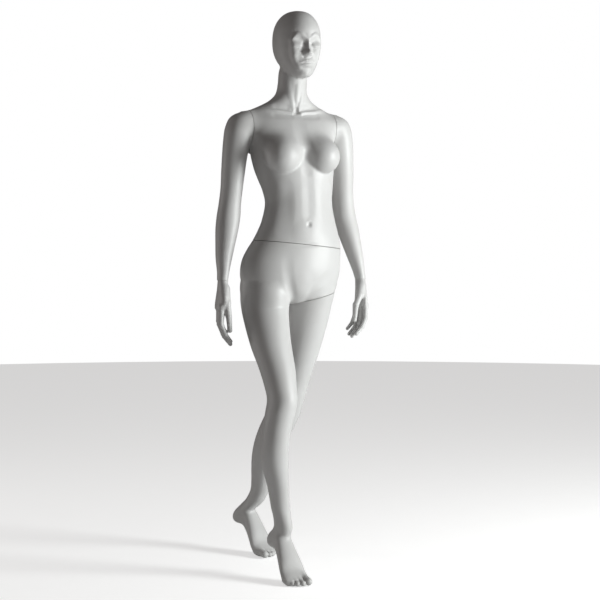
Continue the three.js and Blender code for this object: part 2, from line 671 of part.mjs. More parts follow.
// ---- turning bush joints ------------------------------------------------------------------
// A square spigot pulls straight out of a bush that turns in the near plate. The seat faces
// from the body to the limb.
function bushJoint(frame, side, wall, sizes) {
  const { recess, plate, flange, lip, ring } = sizes;
  const radius = side * Math.SQRT1_2 + wall;
  const bore = side + 2 * SLIDE_CLEARANCE;
  const top = -recess;
  const low = top - plate;
  const plateRoom = rod(frame, radius + GAP, low - 1, top + 1)
    .add(rod(frame, radius + lip + GAP, top - flange - GAP, top + 1));
  const ringLow = low - GAP - ring;
  const bush = rod(frame, radius, ringLow - 1, top)
    .add(rod(frame, radius + lip, top - flange, top))
    .subtract(bar(frame, bore, bore, ringLow - 2, top + 1));
  const keeper = rod(frame, radius + lip, ringLow, low - GAP)
    .subtract(rod(frame, radius + GAP / 2, ringLow - 1, low));
  return { plateRoom, bush, keeper, low, top };
}

for (const [side, word] of sides) {
  const shoulder = shoulderSeat(side);
  const outside = above(shoulder, SEAM_GAP / 2);
  const wrist = wristSeat(side);
  const beyondWrist = above(wrist, SEAM_GAP / 2);
  const arm = joined([armSolid(side, 0), shoulderSolid(side, 0)])
    .intersect(outside).subtract(above(wrist, -SEAM_GAP / 2));
  const hollow = joined([armSolid(side, LIMB_WALL), shoulderSolid(side, LIMB_WALL)]);
  add(word + "_arm_shell", arm.subtract(hollow), FIBREGLASS);

  // Shoulder.
  const inset = SHELL_WALL + GAP;
  const bodyMouth = joined([trunkSolid(inset), shoulderSolid(side, inset)]);
  const armInset = LIMB_WALL + GAP;
  const armMouth = joined([armSolid(side, armInset), shoulderSolid(side, armInset)]);
  const turning = bushJoint(shoulder, ARM_SPIGOT_SIDE, BUSH_WALL, {
    recess: PLATE_RECESS,
    plate: PLATE_THICKNESS,
    flange: BUSH_FLANGE_THICKNESS,
    lip: BUSH_FLANGE,
    ring: BUSH_FLANGE_THICKNESS,
  });
  const mouth = closing(shoulder, turning.low, turning.top, bodyMouth)
    .intersect(rod(shoulder, MOUTH_REACH, turning.low, turning.top));
  const spot = shoulder.clone()
    .multiply(new THREE.Matrix4().makeTranslation(side * MAGNET_OFFSET, 0, 0));
  const magnetRoom = rod(spot, MAGNET_RADIUS + GAP, -PLATE_RECESS - MAGNET_HEIGHT - GAP, 1, 16);
  add(word + "_shoulder_plate", mouth.subtract(turning.plateRoom).subtract(magnetRoom), BOARD);
  add(word + "_shoulder_bush", turning.bush, NYLON);
  add(word + "_shoulder_keeper", turning.keeper, STEEL);
  const magnetTop = -PLATE_RECESS - 0.1;
  add(word + "_shoulder_magnet",
    rod(spot, MAGNET_RADIUS, -PLATE_RECESS - MAGNET_HEIGHT, magnetTop, 16), DARK_STEEL);
  const farLow = PLATE_RECESS;
  const farTop = farLow + PLATE_THICKNESS;
  const spigotHole = ARM_SPIGOT_SIDE + 2 * GAP;
  const armFlange = ARM_SPIGOT_SIDE + 2 * FLANGE_OVERHANG * 0.75;
  let armPlate = closing(shoulder, farLow, farTop, armMouth)
    .intersect(rod(shoulder, MOUTH_REACH, farLow, farTop))
    .subtract(bar(shoulder, spigotHole, spigotHole, farLow - 1, farTop + 1));
  const behind = farTop + GAP;
  let spigot = bar(shoulder, ARM_SPIGOT_SIDE, ARM_SPIGOT_SIDE, -ARM_SPIGOT_LENGTH, behind + 1)
    .add(bar(shoulder, armFlange, armFlange, behind, behind + FLANGE_THICKNESS));
  for (const at of [-1, 1]) {
    const pitch = (ARM_SPIGOT_SIDE / 2 + SCREW_HEAD_RADIUS + 2) * at;
    const { screw, room } = screwAt(shoulder, 0, pitch, farLow, -1);
    armPlate = armPlate.subtract(room);
    spigot = spigot.subtract(room);
    add(word + "_arm_screw_" + (at < 0 ? 1 : 2), screw, DARK_STEEL);
  }
  add(word + "_arm_plate", armPlate, BOARD);
  add(word + "_arm_spigot", spigot, STEEL);

  // Wrist.
  const wristTurn = bushJoint(wrist, HAND_SPIGOT_SIDE, HAND_BUSH_WALL, {
    recess: WRIST_RECESS,
    plate: WRIST_PLATE,
    flange: WRIST_FLANGE,
    lip: WRIST_LIP,
    ring: WRIST_FLANGE,
  });
  add(word + "_wrist_plate",
    closing(wrist, wristTurn.low, wristTurn.top, armMouth).subtract(wristTurn.plateRoom), BOARD);
  add(word + "_wrist_bush", wristTurn.bush, NYLON);
  add(word + "_wrist_keeper", wristTurn.keeper, STEEL);
  const footing = HAND_FOOTING_RADIUS;
  const handRoom = rod(wrist, footing + GAP, -1, WRIST_RECESS + HAND_FOOTING + GAP, 20);
  const hand = handSolid(side, side > 0 ? LEFT_HAND : RIGHT_HAND).intersect(beyondWrist);
  add(word + "_hand", hand.subtract(handRoom), FIBREGLASS);
  const handSpigot = bar(wrist, HAND_SPIGOT_SIDE, HAND_SPIGOT_SIDE, -HAND_SPIGOT_LENGTH,
    WRIST_RECESS + 1)
    .add(rod(wrist, footing, WRIST_RECESS, WRIST_RECESS + HAND_FOOTING, 20));
  add(word + "_hand_spigot", handSpigot, STEEL);
}

group.position.set(-FRAME_X * OUT, -FRAME_Y * OUT, -FRAME_Z * UP);
export default group;
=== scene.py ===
"""Full body mannequin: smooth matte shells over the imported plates, pegs and bushes."""

import json
import logging
import math
from dataclasses import dataclass, field
from enum import Enum
from typing import Callable, Iterable, Sequence

import bmesh
import bpy
import numpy as np
from mathutils import Matrix, Vector


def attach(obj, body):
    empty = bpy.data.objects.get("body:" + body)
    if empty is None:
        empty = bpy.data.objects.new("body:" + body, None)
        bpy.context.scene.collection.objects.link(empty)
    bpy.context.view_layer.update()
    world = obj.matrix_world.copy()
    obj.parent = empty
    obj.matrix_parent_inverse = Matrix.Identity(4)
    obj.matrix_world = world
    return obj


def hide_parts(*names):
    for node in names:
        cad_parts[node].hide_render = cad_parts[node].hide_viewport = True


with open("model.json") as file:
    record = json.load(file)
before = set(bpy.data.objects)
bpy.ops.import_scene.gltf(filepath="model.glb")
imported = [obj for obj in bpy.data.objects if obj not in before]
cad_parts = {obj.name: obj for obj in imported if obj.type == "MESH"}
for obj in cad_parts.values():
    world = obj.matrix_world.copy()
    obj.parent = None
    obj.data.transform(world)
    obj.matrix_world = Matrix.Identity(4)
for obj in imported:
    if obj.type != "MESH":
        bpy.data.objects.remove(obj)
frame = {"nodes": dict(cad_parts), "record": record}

logging.basicConfig(level=logging.INFO, format="%(message)s")
LOG = logging.getLogger("mannequin")

MM = 0.001
FRAME_SHIFT = np.array([-5.87, 110.05, -0.68])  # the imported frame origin, in body millimetres

WAIST_LEVEL, WAIST_SLOPE = 1073.0, -0.096
THIGH_LEVEL, THIGH_SLOPE = 885.0, 0.25
SHOULDER_SEAM, SHOULDER_Y, SHOULDER_Z = 150.0, 45.0, 1463.0
WRIST_LEVEL = 958.0
SHELL_WALL, LIMB_WALL = 4.0, 3.4
SEAM_HALF_GAP = 0.75
WRIST_HALF_GAP = 0.2
CROTCH_DIVIDE = -30.0
ARMPIT_LEVEL = 1270.0  # the shoulder seams stop above it
THIGH_SPAN = (780.0, 960.0)  # heights between which the thigh seam lies
RIM_BEVEL = 0.8
RIM_REACH = 14.0  # how far from a seam the paint is darkened in patches
FOOT_SQUARENESS = 2.3
SOCKET_RADII = (13.3, 9.3)  # flange and tube of a rod socket, with their clearance
SOCKET_FLANGE_DEPTH = 2.8
HEEL_SOCKET, HEEL_SOCKET_DEPTH = (-83, -42, 92.5), 68
CALF_SOCKET, CALF_SOCKET_DEPTH = (-131, -76, 395), 46

Row = Sequence[float]
Points = np.ndarray
Field = Callable[[Points], np.ndarray]


class Side(Enum):
    """Which of a pair of limbs, by the figure's own hand."""

    LEFT = 1
    RIGHT = -1

    @property
    def word(self) -> str:
        """Start of the names of the pieces on this side."""
        return self.name.lower()


class Facing(Enum):
    """Direction from which a set of strokes is laid on."""

    FRONT = "front"
    BACK = "back"


# Rows: height, centre x, centre y, reach left, right, front, back, squareness.
TRUNK = (
    (868, 2, 8, 10, 10, 14, 16, 2),
    (880, 2, 8, 42, 42, 44, 60, 2),
    (900, -4, 6, 108, 112, 72, 96, 2.1),
    (925, -9, 4, 146, 150, 88, 116, 2.15),
    (957, -13, 2, 162, 169, 97, 124, 2.15),
    (990, -12, 0, 167, 175, 101, 118, 2.15),
    (1023, -9, -1, 165, 174, 101, 103, 2.15),
    (1056, -3, -2, 160, 165, 98, 90, 2.15),
    (1089, 3, -3, 150, 150, 93, 80, 2.1),
    (1121, 7, -4, 138, 137, 88, 75, 2.1),
    (1154, 9, -4, 127, 125, 84, 73, 2.1),
    (1207, 10, -3, 116, 114, 82, 74, 2.1),
    (1250, 8, 0, 120, 119, 86, 80, 2.15),
    (1285, 5, 6, 127, 128, 92, 86, 2.2),
    (1320, 2, 13, 135, 136, 97, 88, 2.25),
    (1367, 0, 21, 143, 143, 98, 88, 2.3),
    (1410, -2, 26, 147, 147, 92, 86, 2.3),
    (1445, -2, 30, 155, 155, 82, 82, 2.2),
    (1478, -2, 36, 161, 161, 69, 76, 2.05),
    (1500, -2, 41, 153, 153, 58, 66, 1.85),
    (1516, -2, 42, 132, 132, 56, 56, 1.7),
    (1532, -2, 38, 99, 99, 55, 53, 1.7),
    (1548, -2, 33, 72, 72, 53, 50, 1.85),
    (1570, -1, 27, 53, 53, 50, 50, 2),
    (1600, 0, 22, 48, 48, 48, 49, 2),
    (1640, 1, 17, 47, 47, 46, 50, 2),
    (1668, 2, 14, 40, 40, 36, 48, 2),
)
HEAD = (
    (1617, 0, -42, 13, 13, 17, 20, 2),
    (1622, 0, -38, 27, 27, 30, 28, 2),
    (1634, 0, -28, 41, 41, 47, 42, 2),
    (1650, 0, -17, 52, 52, 64, 56, 2.05),
    (1670, 0, -6, 62, 62, 78, 70, 2.1),
    (1692, 0, 0, 69, 69, 85, 82, 2.1),
    (1716, 0, 0, 74, 74, 88, 92, 2.1),
    (1745, 0, 0, 75, 75, 92, 96, 2.1),
    (1776, 0, 0, 72, 72, 91, 94, 2.05),
    (1802, 0, 0, 63, 63, 80, 84, 2),
    (1822, 0, 0, 48, 48, 62, 66, 2),
    (1834, 0, 0, 30, 30, 39, 43, 2),
    (1840, 0, 0, 6, 6, 8, 8, 2),
)
HEAD_AXIS = (7.0, 3.0)
# The flat front plane of the face, about the same axis as the head.
MASK = (
    (1628, 0, -28, 16, 16, 38, 10, 2.6),
    (1638, 0, -22, 28, 28, 54, 16, 3.4),
    (1649, 0, -17, 38, 38, 61, 24, 5),
    (1674, 0, -5, 49, 49, 76, 34, 7),
    (1700, 0, 0, 55, 55, 82, 40, 7),
    (1728, 0, 0, 58, 58, 85, 40, 7),
    (1744, 0, 0, 56, 56, 86, 40, 5),
    (1760, 0, 0, 47, 47, 84, 40, 3.4),
    (1774, 0, 0, 34, 34, 78, 40, 2.6),
)
RIGHT_LEG = (
    (108, -79, -58, 13, 13, 22, 18, 2),
    (130, -78, -63, 23, 23, 36, 26, 2),
    (165, -78, -76, 28, 28, 40, 31, 2),
    (200, -86, -88, 28, 28, 33, 33, 2),
    (230, -94, -95, 30, 30, 31, 37, 2),
    (260, -101, -103, 31, 31, 32, 42, 2),
    (300, -110, -113, 33, 33, 36, 48, 2),
    (340, -120, -122, 37, 37, 40, 54, 2),
    (395, -131, -132, 43, 43, 45, 60, 2),
    (450, -134, -142, 44, 44, 48, 59, 2),
    (500, -131, -150, 45, 45, 50, 52, 2.05),
    (545, -124, -156, 47, 47, 52, 48, 2.1),
    (585, -118, -156, 47, 47, 56, 48, 2.1),
    (625, -119, -146, 50, 50, 57, 53, 2.05),
    (680, -120, -123, 57, 57, 62, 63, 2),
    (740, -124, -92, 63, 64, 69, 72, 2),
    (800, -123, -60, 68, 70, 76, 80, 2),
    (860, -117, -28, 73, 76, 80, 92, 2),
    (905, -107, -8, 77, 80, 83, 104, 2),
    (950, -97, 2, 70, 80, 78, 106, 2),
    (985, -90, 6, 50, 50, 50, 70, 2),
)
LEFT_LEG = (
    (124, -22, 385, 13, 13, 22, 18, 2),
    (142, -18, 378, 23, 23, 35, 27, 2),
    (172, 2, 356, 30, 30, 44, 36, 2),
    (195, 9, 336, 31, 31, 41, 38, 2),
    (222, 13, 317, 31, 31, 38, 40, 2),
    (258, 9, 296, 32, 32, 39, 46, 2),
    (300, 5, 273, 36, 36, 44, 57, 2),
    (350, 2, 244, 42, 42, 52, 66, 2),
    (400, 8, 216, 50, 50, 63, 74, 2),
    (450, 19, 190, 55, 55, 72, 76, 2),
    (500, 31, 164, 55, 55, 74, 73, 2.05),
    (550, 36, 137, 53, 53, 68, 66, 2.1),
    (600, 44, 116, 53, 53, 62, 62, 2),
    (650, 49, 98, 56, 56, 63, 65, 2),
    (700, 55, 82, 60, 60, 66, 70, 2),
    (760, 59, 63, 66, 66, 72, 77, 2),
    (820, 61, 44, 72, 72, 78, 85, 2),
    (870, 61, 27, 76, 76, 81, 95, 2),
    (910, 61, 12, 79, 79, 82, 104, 2),
    (950, 66, 8, 78, 74, 72, 100, 2),
    (985, 76, 8, 50, 50, 50, 70, 2),
)
ARM = (
    (938, 250, 12, 13, 13, 17, 17, 2),
    (958, 250, 16, 17, 17, 22, 21, 2),
    (985, 246, 21, 19, 19, 26, 25, 2),
    (1030, 239, 32, 26, 26, 32, 31, 2),
    (1080, 229, 43, 32, 32, 38, 37, 2),
    (1125, 220, 52, 37, 37, 41, 40, 2),
    (1165, 212, 58, 38, 38, 40, 41, 2.1),
    (1205, 207, 59, 36, 36, 38, 40, 2.05),
    (1255, 202, 56, 36, 36, 39, 39, 2),
    (1310, 198, 52, 39, 38, 42, 41, 2),
    (1365, 193, 49, 42, 41, 44, 43, 2),
    (1410, 186, 47, 46, 45, 47, 46, 2),
    (1450, 177, 46, 50, 46, 49, 47, 2),
    (1480, 168, 45, 47, 46, 43, 41, 2),
    (1495, 158, 45, 40, 42, 33, 32, 2),
    (1505, 148, 45, 24, 30, 20, 20, 2),
)
PALM = (
    (868, 249, 6, 11, 11, 30, 36, 2),
    (884, 249, 6, 14, 14, 36, 38, 2),
    (905, 249, 7, 15, 15, 35, 34, 2),
    (930, 249, 11, 15, 15, 27, 27, 2),
    (958, 249, 16, 16, 16, 22, 21, 2),
    (975, 247, 18, 16, 16, 22, 21, 2),
)
# Fingers from the little finger: place across the knuckles, share of the longest, radius.
FINGERS = ((30, 0.78, 7.2), (12, 0.94, 8.0), (-6, 1.0, 8.4), (-24, 0.92, 8.2))
KNUCKLE_Z, KNUCKLE_TURN = 872.0, 0.22
TOES = ((27, 168, 12.0), (7, 169, 8.5), (-9, 162, 8.0), (-22, 153, 7.5), (-33, 143, 7.0))
# Foot rows: forward reach, half width inside, outside, sole height, instep height.
FOOT = (
    (-38, 8, 8, 105, 116),
    (-33, 19, 19, 97, 130),
    (-18, 26, 26, 92, 146),
    (4, 28, 28, 91, 160),
    (26, 27, 28, 84, 170),
    (50, 28, 30, 62, 152),
    (76, 33, 35, 33, 119),
    (100, 40, 40, 9, 84),
    (122, 43, 43, 0, 48),
    (142, 39, 41, 0, 30),
    (151, 30, 32, 4, 22),
)


def mirrored(rows: Sequence[Row]) -> tuple[Row, ...]:
    """Section rows of the limb on the other side.

    Args:
        rows: Rows of the left limb.

    Returns:
        The same rows with x and the two side reaches exchanged.
    """
    return tuple((z, -x, y, r, l, f, b, q) for z, x, y, l, r, f, b, q in rows)


def catmull(rows: Sequence[Row], steps: int = 12) -> np.ndarray:
    """Rows with smooth steps between them.

    Args:
        rows: Section rows in order.
        steps: Steps in each interval.

    Returns:
        Array of dense rows.
    """
    table = np.array(rows, float)
    slopes = np.gradient(table, axis=0)
    slopes[0], slopes[-1] = (table[1] - table[0]) / 2, (table[-1] - table[-2]) / 2
    dense = []
    for i in range(len(table) - 1):
        for t in np.arange(steps) / steps:
            h00, h10 = 2 * t**3 - 3 * t**2 + 1, t**3 - 2 * t**2 + t
            h01, h11 = 3 * t**2 - 2 * t**3, t**3 - t**2
            dense.append(h00 * table[i] + h10 * slopes[i] + h01 * table[i + 1] + h11 * slopes[i + 1])
    dense.append(table[-1])
    return np.array(dense)


# ---- volumes -------------------------------------------------------------------------


def sleeve(across: np.ndarray, rho: np.ndarray, thin: np.ndarray, over: np.ndarray) -> np.ndarray:
    """Signed distance to a sleeve of sections.

    Args:
        across: Distance from the section's middle.
        rho: The same as a share of the section's reach in that direction.
        thin: Smaller reach of the section.
        over: Distance past the end of the sleeve.

    Returns:
        Signed distance, negative inside.
    """
    radial = np.where(rho > 1e-4, across - across / np.maximum(rho, 1e-4), -thin)
    return np.where(over > 0, np.hypot(np.maximum(radial, 0), over), radial)


def ringed(bm: bmesh.types.BMesh, segments: int, rings: Iterable[Callable[[Vector], Row]]) -> None:
    """Bridges one ring to the next and closes both ends.

    Args:
        bm: Mesh that takes the rings.
        segments: Sides of each ring.
        rings: For each ring, what turns a place on the unit circle into a place on the ring.
    """
    previous = None
    for shape in rings:
        ring = bmesh.ops.create_circle(bm, cap_ends=False, radius=1, segments=segments)["verts"]
        for v in ring:
            v.co = shape(v.co.copy())
        edges = list({e for v in ring for e in v.link_edges})
        if previous is None:
            bmesh.ops.contextual_create(bm, geom=edges)
        else:
            bmesh.ops.bridge_loops(bm, edges=previous + edges)
        previous = edges
    bmesh.ops.contextual_create(bm, geom=previous)


class Volume:
    """A closed form with a signed distance in millimetres, negative inside."""

    def distance(self, p: Points) -> np.ndarray:
        """Signed distance of every point."""
        raise NotImplementedError

    def rough(self, bm: bmesh.types.BMesh) -> None:
        """Adds a rough closed mesh of this form to bm, in millimetres."""
        raise NotImplementedError


@dataclass
class Loft(Volume):
    """A limb through level sections.

    Attributes:
        rows: Section rows from low to high.
        segments: Sides of the rough mesh.
    """

    rows: Sequence[Row]
    segments: int = 40
    table: np.ndarray = field(init=False)

    def __post_init__(self) -> None:
        """Works out the dense rows."""
        self.table = catmull(self.rows)

    def distance(self, p: Points) -> np.ndarray:
        """Signed distance of every point, measured across the limb."""
        z = p[:, 2]
        levels = self.table[:, 0]
        zc = np.clip(z, levels[0], levels[-1])
        x, y, left, right, front, back, square = (
            np.interp(zc, levels, self.table[:, k]) for k in range(1, 8)
        )
        dx, dy = p[:, 0] - x, p[:, 1] - y
        rx = np.where(dx > 0, left, right)
        ry = np.where(dy > 0, back, front)
        rho = (np.abs(dx / rx) ** square + np.abs(dy / ry) ** square) ** (1 / square)
        return sleeve(np.hypot(dx, dy), rho, np.minimum(rx, ry), np.abs(z - zc))

    def rough(self, bm: bmesh.types.BMesh) -> None:
        """Level rings from low to high."""
        def ring(z: float, x: float, y: float, left: float, right: float, front: float, back: float,
                 _: float) -> Callable[[Vector], Row]:
            return lambda co: (
                x + co.x * (left if co.x > 0 else right), y + co.y * (back if co.y > 0 else front), z
            )
        ringed(bm, self.segments, (ring(*row) for row in self.table[::4]))


@dataclass
class Ball(Volume):
    """An ellipsoid with its three half widths."""

    centre: Row
    radii: Row

    def distance(self, p: Points) -> np.ndarray:
        """Signed distance of every point, close to true near the surface."""
        q = (p - np.array(self.centre)) / np.array(self.radii)
        k0 = np.linalg.norm(q, axis=1)
        k1 = np.linalg.norm(q / np.array(self.radii), axis=1)
        return k0 * (k0 - 1) / np.maximum(k1, 1e-6)

    def rough(self, bm: bmesh.types.BMesh) -> None:
        """A scaled sphere."""
        place = Matrix.Translation(self.centre) @ Matrix.Diagonal((*self.radii, 1))
        bmesh.ops.create_uvsphere(bm, u_segments=24, v_segments=16, radius=1, matrix=place)


@dataclass
class Rod(Volume):
    """A round bar that tapers between two round ends."""

    start: Row
    start_radius: float
    end: Row
    end_radius: float

    def distance(self, p: Points) -> np.ndarray:
        """Signed distance of every point."""
        a, b = np.array(self.start, float), np.array(self.end, float)
        axis = b - a
        t = np.clip((p - a) @ axis / (axis @ axis), 0, 1)
        away = np.linalg.norm(p - a - t[:, None] * axis, axis=1)
        return away - (self.start_radius + t * (self.end_radius - self.start_radius))

    def rough(self, bm: bmesh.types.BMesh) -> None:
        """Two spheres and the cone between them."""
        a, b = Vector(self.start), Vector(self.end)
        for centre, radius in ((a, self.start_radius), (b, self.end_radius)):
            bmesh.ops.create_uvsphere(
                bm, u_segments=14, v_segments=10, radius=radius, matrix=Matrix.Translation(centre)
            )
        turn = (b - a).to_track_quat("Z", "Y").to_matrix().to_4x4()
        bmesh.ops.create_cone(
            bm, cap_ends=True, segments=14, radius1=self.start_radius, radius2=self.end_radius,
            depth=(b - a).length, matrix=Matrix.Translation((a + b) / 2) @ turn,
        )


@dataclass
class Foot(Volume):
    """A raised foot in its own frame, heel axis at the origin and toes towards -Y."""

    side: Side
    table: np.ndarray = field(init=False)

    def __post_init__(self) -> None:
        """Works out the dense rows."""
        self.table = catmull(FOOT)

    def distance(self, p: Points) -> np.ndarray:
        """Signed distance of every point, measured across the foot."""
        f = -p[:, 1]
        reach = self.table[:, 0]
        fc = np.clip(f, reach[0], reach[-1])
        inner, outer, low, high = (np.interp(fc, reach, self.table[:, k]) for k in range(1, 5))
        half = np.where(self.side.value * p[:, 0] > 0, outer, inner)
        tall = np.maximum((high - low) / 2, 1)
        dx, dz = p[:, 0], p[:, 2] - (low + high) / 2
        square = FOOT_SQUARENESS
        rho = (np.abs(dx / half) ** square + np.abs(dz / tall) ** square) ** (1 / square)
        return sleeve(np.hypot(dx, dz), rho, np.minimum(half, tall), np.abs(f - fc))

    def rough(self, bm: bmesh.types.BMesh) -> None:
        """Upright rings from heel to toes."""
        def ring(f: float, inner: float, outer: float, low: float, high: float) -> Callable[[Vector], Row]:
            return lambda co: (
                co.x * (outer if self.side.value * co.x > 0 else inner), -f,
                (low + high) / 2 + co.y * (high - low) / 2,
            )
        ringed(bm, 28, (ring(*row) for row in self.table[::4]))


def smooth_min(a: np.ndarray, b: np.ndarray, k: float | np.ndarray) -> np.ndarray:
    """Smaller of two distances, rounded over k millimetres."""
    h = np.clip(0.5 + 0.5 * (b - a) / k, 0, 1)
    return b + (a - b) * h - k * h * (1 - h)


@dataclass
class Blend(Volume):
    """Several forms run into each other.

    Attributes:
        parts: The forms, in the order that they are joined.
        softness: Rounding of each join in millimetres, or a function of the points.
        place: Frame of the forms inside the body.
    """

    parts: Sequence[Volume]
    softness: Sequence[float | Callable[[Points], np.ndarray]]
    place: Matrix = field(default_factory=lambda: Matrix.Identity(4))

    def distance(self, p: Points) -> np.ndarray:
        """Signed distance of every point."""
        back = np.array(self.place.inverted())
        q = p @ back[:3, :3].T + back[:3, 3]
        total = self.parts[0].distance(q)
        for part, soft in zip(self.parts[1:], self.softness):
            k = soft(q) if callable(soft) else soft
            total = smooth_min(total, part.distance(q), k)
        return total

    def rough(self, bm: bmesh.types.BMesh) -> None:
        """Every form's rough mesh, in place."""
        before = set(bm.verts)
        for part in self.parts:
            part.rough(bm)
        new = [v for v in bm.verts if v not in before]
        bmesh.ops.transform(bm, matrix=self.place, verts=new)


def fade(values: np.ndarray, low: float, high: float) -> np.ndarray:
    """0 below low, 1 above high, smooth between."""
    t = np.clip((values - low) / (high - low), 0, 1)
    return t * t * (3 - 2 * t)


# ---- strokes -------------------------------------------------------------------------


class Flank(Enum):
    """Cross-section of a stroke."""

    ROUND = "round"
    ROOF = "roof"


def smoothed(path: Sequence[Row]) -> Sequence[Row]:
    """Path with rounded corners, through the same points."""
    if len(path) < 3:
        return path if len(path) == 2 else [path[0]] * 2
    points = np.array([path[0], *path, path[-1]], dtype=float)
    t = np.linspace(0, 1, 5)[:-1, None]
    runs = [
        0.5 * (2 * b + (c - a) * t + (2 * a - 5 * b + 4 * c - d) * t**2 + (3 * b - a - 3 * c + d) * t**3)
        for a, b, c, d in zip(points, points[1:], points[2:], points[3:])
    ]
    return [tuple(row) for row in np.vstack([*runs, points[-1:]])]


@dataclass(frozen=True)
class Stroke:
    """A raised or carved line.

    Attributes:
        path: Points along it: across, up, half width, rise (negative carves), in millimetres.
        twin: Whether the same stroke lies on the other side of the middle too.
        edge: Sharpness of its flank, 1 broad and 3 narrow.
        flank: Whether its top is round or a ridge.
    """

    path: Sequence[Row]
    twin: bool = True
    edge: float = 2.0
    flank: Flank = Flank.ROUND

    def rise(self, across: np.ndarray, up: np.ndarray) -> np.ndarray:
        """Rise in millimetres at every place."""
        total = self._one(across, up)
        if self.twin:
            other = self._one(-across, up)
            total = np.where(np.abs(other) > np.abs(total), other, total)
        return total

    def _one(self, across: np.ndarray, up: np.ndarray) -> np.ndarray:
        """Rise of the stroke on its own side."""
        best = np.zeros_like(across)
        path = smoothed(self.path)
        for (ax, az, ar, ah), (bx, bz, br, bh) in zip(path[:-1], path[1:]):
            dx, dz = bx - ax, bz - az
            length = max(dx * dx + dz * dz, 1e-6)
            t = np.clip(((across - ax) * dx + (up - az) * dz) / length, 0, 1)
            away = np.hypot(across - ax - t * dx, up - az - t * dz) / (ar + t * (br - ar))
            fall = 1 - away**2 if self.flank is Flank.ROUND else 1 - np.hypot(away, 0.12)
            rise = (ah + t * (bh - ah)) * np.clip(fall, 0, 1) ** self.edge
            best = np.where(np.abs(rise) > np.abs(best), rise, best)
        return best


@dataclass(frozen=True)
class Relief:
    """A set of strokes seen from one direction.

    Attributes:
        facing: Direction from which they are laid on.
        middle: Height and x of points on the twin axis.
        span: Lowest and highest level that the relief touches.
        strokes: The strokes.
        push: 1 moves along the view, 0 along the surface's own normal.
    """

    facing: Facing
    middle: Sequence[tuple[float, float]]
    span: tuple[float, float]
    strokes: Sequence[Stroke]
    push: float = 0.5

    def apply(self, p: Points, n: Points) -> Points:
        """Points moved by the strokes.

        Args:
            p: Places in millimetres.
            n: Unit normals.

        Returns:
            The moved places.
        """
        view = np.array([0, -1.0 if self.facing is Facing.FRONT else 1.0, 0])
        heights, places = zip(*self.middle)
        level = p[:, 2]
        across = p[:, 0] - np.interp(level, heights, places)
        facing = fade(n @ view, -0.05, 0.35)
        gate = fade(level, self.span[0], self.span[0] + 4) * (1 - fade(level, self.span[1] - 4, self.span[1]))
        rise = sum((stroke.rise(across, level) for stroke in self.strokes), np.zeros(len(p)))
        direction = self.push * view + (1 - self.push) * n
        return p + direction * (rise * facing * gate)[:, None]


FACE = (
    # Eye sockets under an arched brow, deepest beside the nose.
    Stroke(((14, 1728, 16, -6.0), (27, 1731, 17, -6.0), (41, 1730, 16, -4.2), (50, 1726, 13, -2.0))),
    Stroke(((12, 1718, 14, -4.5), (17, 1706, 14, -2.2))),
    # Brow ridge, from the nose's root out to the temple.
    Stroke(((8, 1736, 10, 0.6), (18, 1749, 10, 2.4), (32, 1755, 10, 2.8), (46, 1748, 10, 2.6),
            (56, 1736, 9, 1.2))),
    # Closed eyeball.
    Stroke(((25, 1722, 15, 2.6), (34, 1722, 16, 3.4), (43, 1720, 14, 2.2))),
    Stroke(((22, 1712, 6, -0.4), (32, 1709, 6, -0.9), (43, 1711, 6, -0.7), (50, 1715, 5, -0.2))),
    # Nose: a wedge with flat sides, tip and wings.
    Stroke(((0, 1752, 12, 0.0), (0, 1736, 15, 4.0), (0, 1716, 18, 10.0), (0, 1699, 21, 17.0),
            (0, 1693, 20, 17.5)), twin=False, edge=1.25, flank=Flank.ROOF),
    Stroke(((0, 1695, 14, 7.0),), twin=False, edge=1.8),
    Stroke(((10, 1693, 11, 4.5), (14, 1695, 9, 2.5))),
    Stroke(((0, 1679, 9, -2.4), (11, 1681, 9, -2.0))),
    # Mouth: full lips and their parting.
    Stroke(((0, 1663, 24, 4.5), (16, 1660, 20, 2.5))),
    Stroke(((5, 1668, 9, 2.0), (12, 1666, 9, 1.8), (22, 1661, 7, 0.8))),
    Stroke(((0, 1661, 5, -2.2), (10, 1661.5, 5, -2.2), (20, 1659, 5, -1.5), (26, 1657, 5, -0.5))),
    Stroke(((0, 1653, 10, 2.8), (9, 1653.5, 10, 2.6), (18, 1656, 8, 1.0))),
    Stroke(((0, 1641, 13, -2.2), (12, 1643, 12, -1.4))),
    # Chin and cheeks.
    Stroke(((0, 1629, 18, 3.5), (8, 1629, 16, 2.5))),
    Stroke(((36, 1700, 22, 1.6), (48, 1708, 18, 1.0))),
    Stroke(((34, 1676, 18, -1.2), (36, 1662, 16, -0.8))),
)
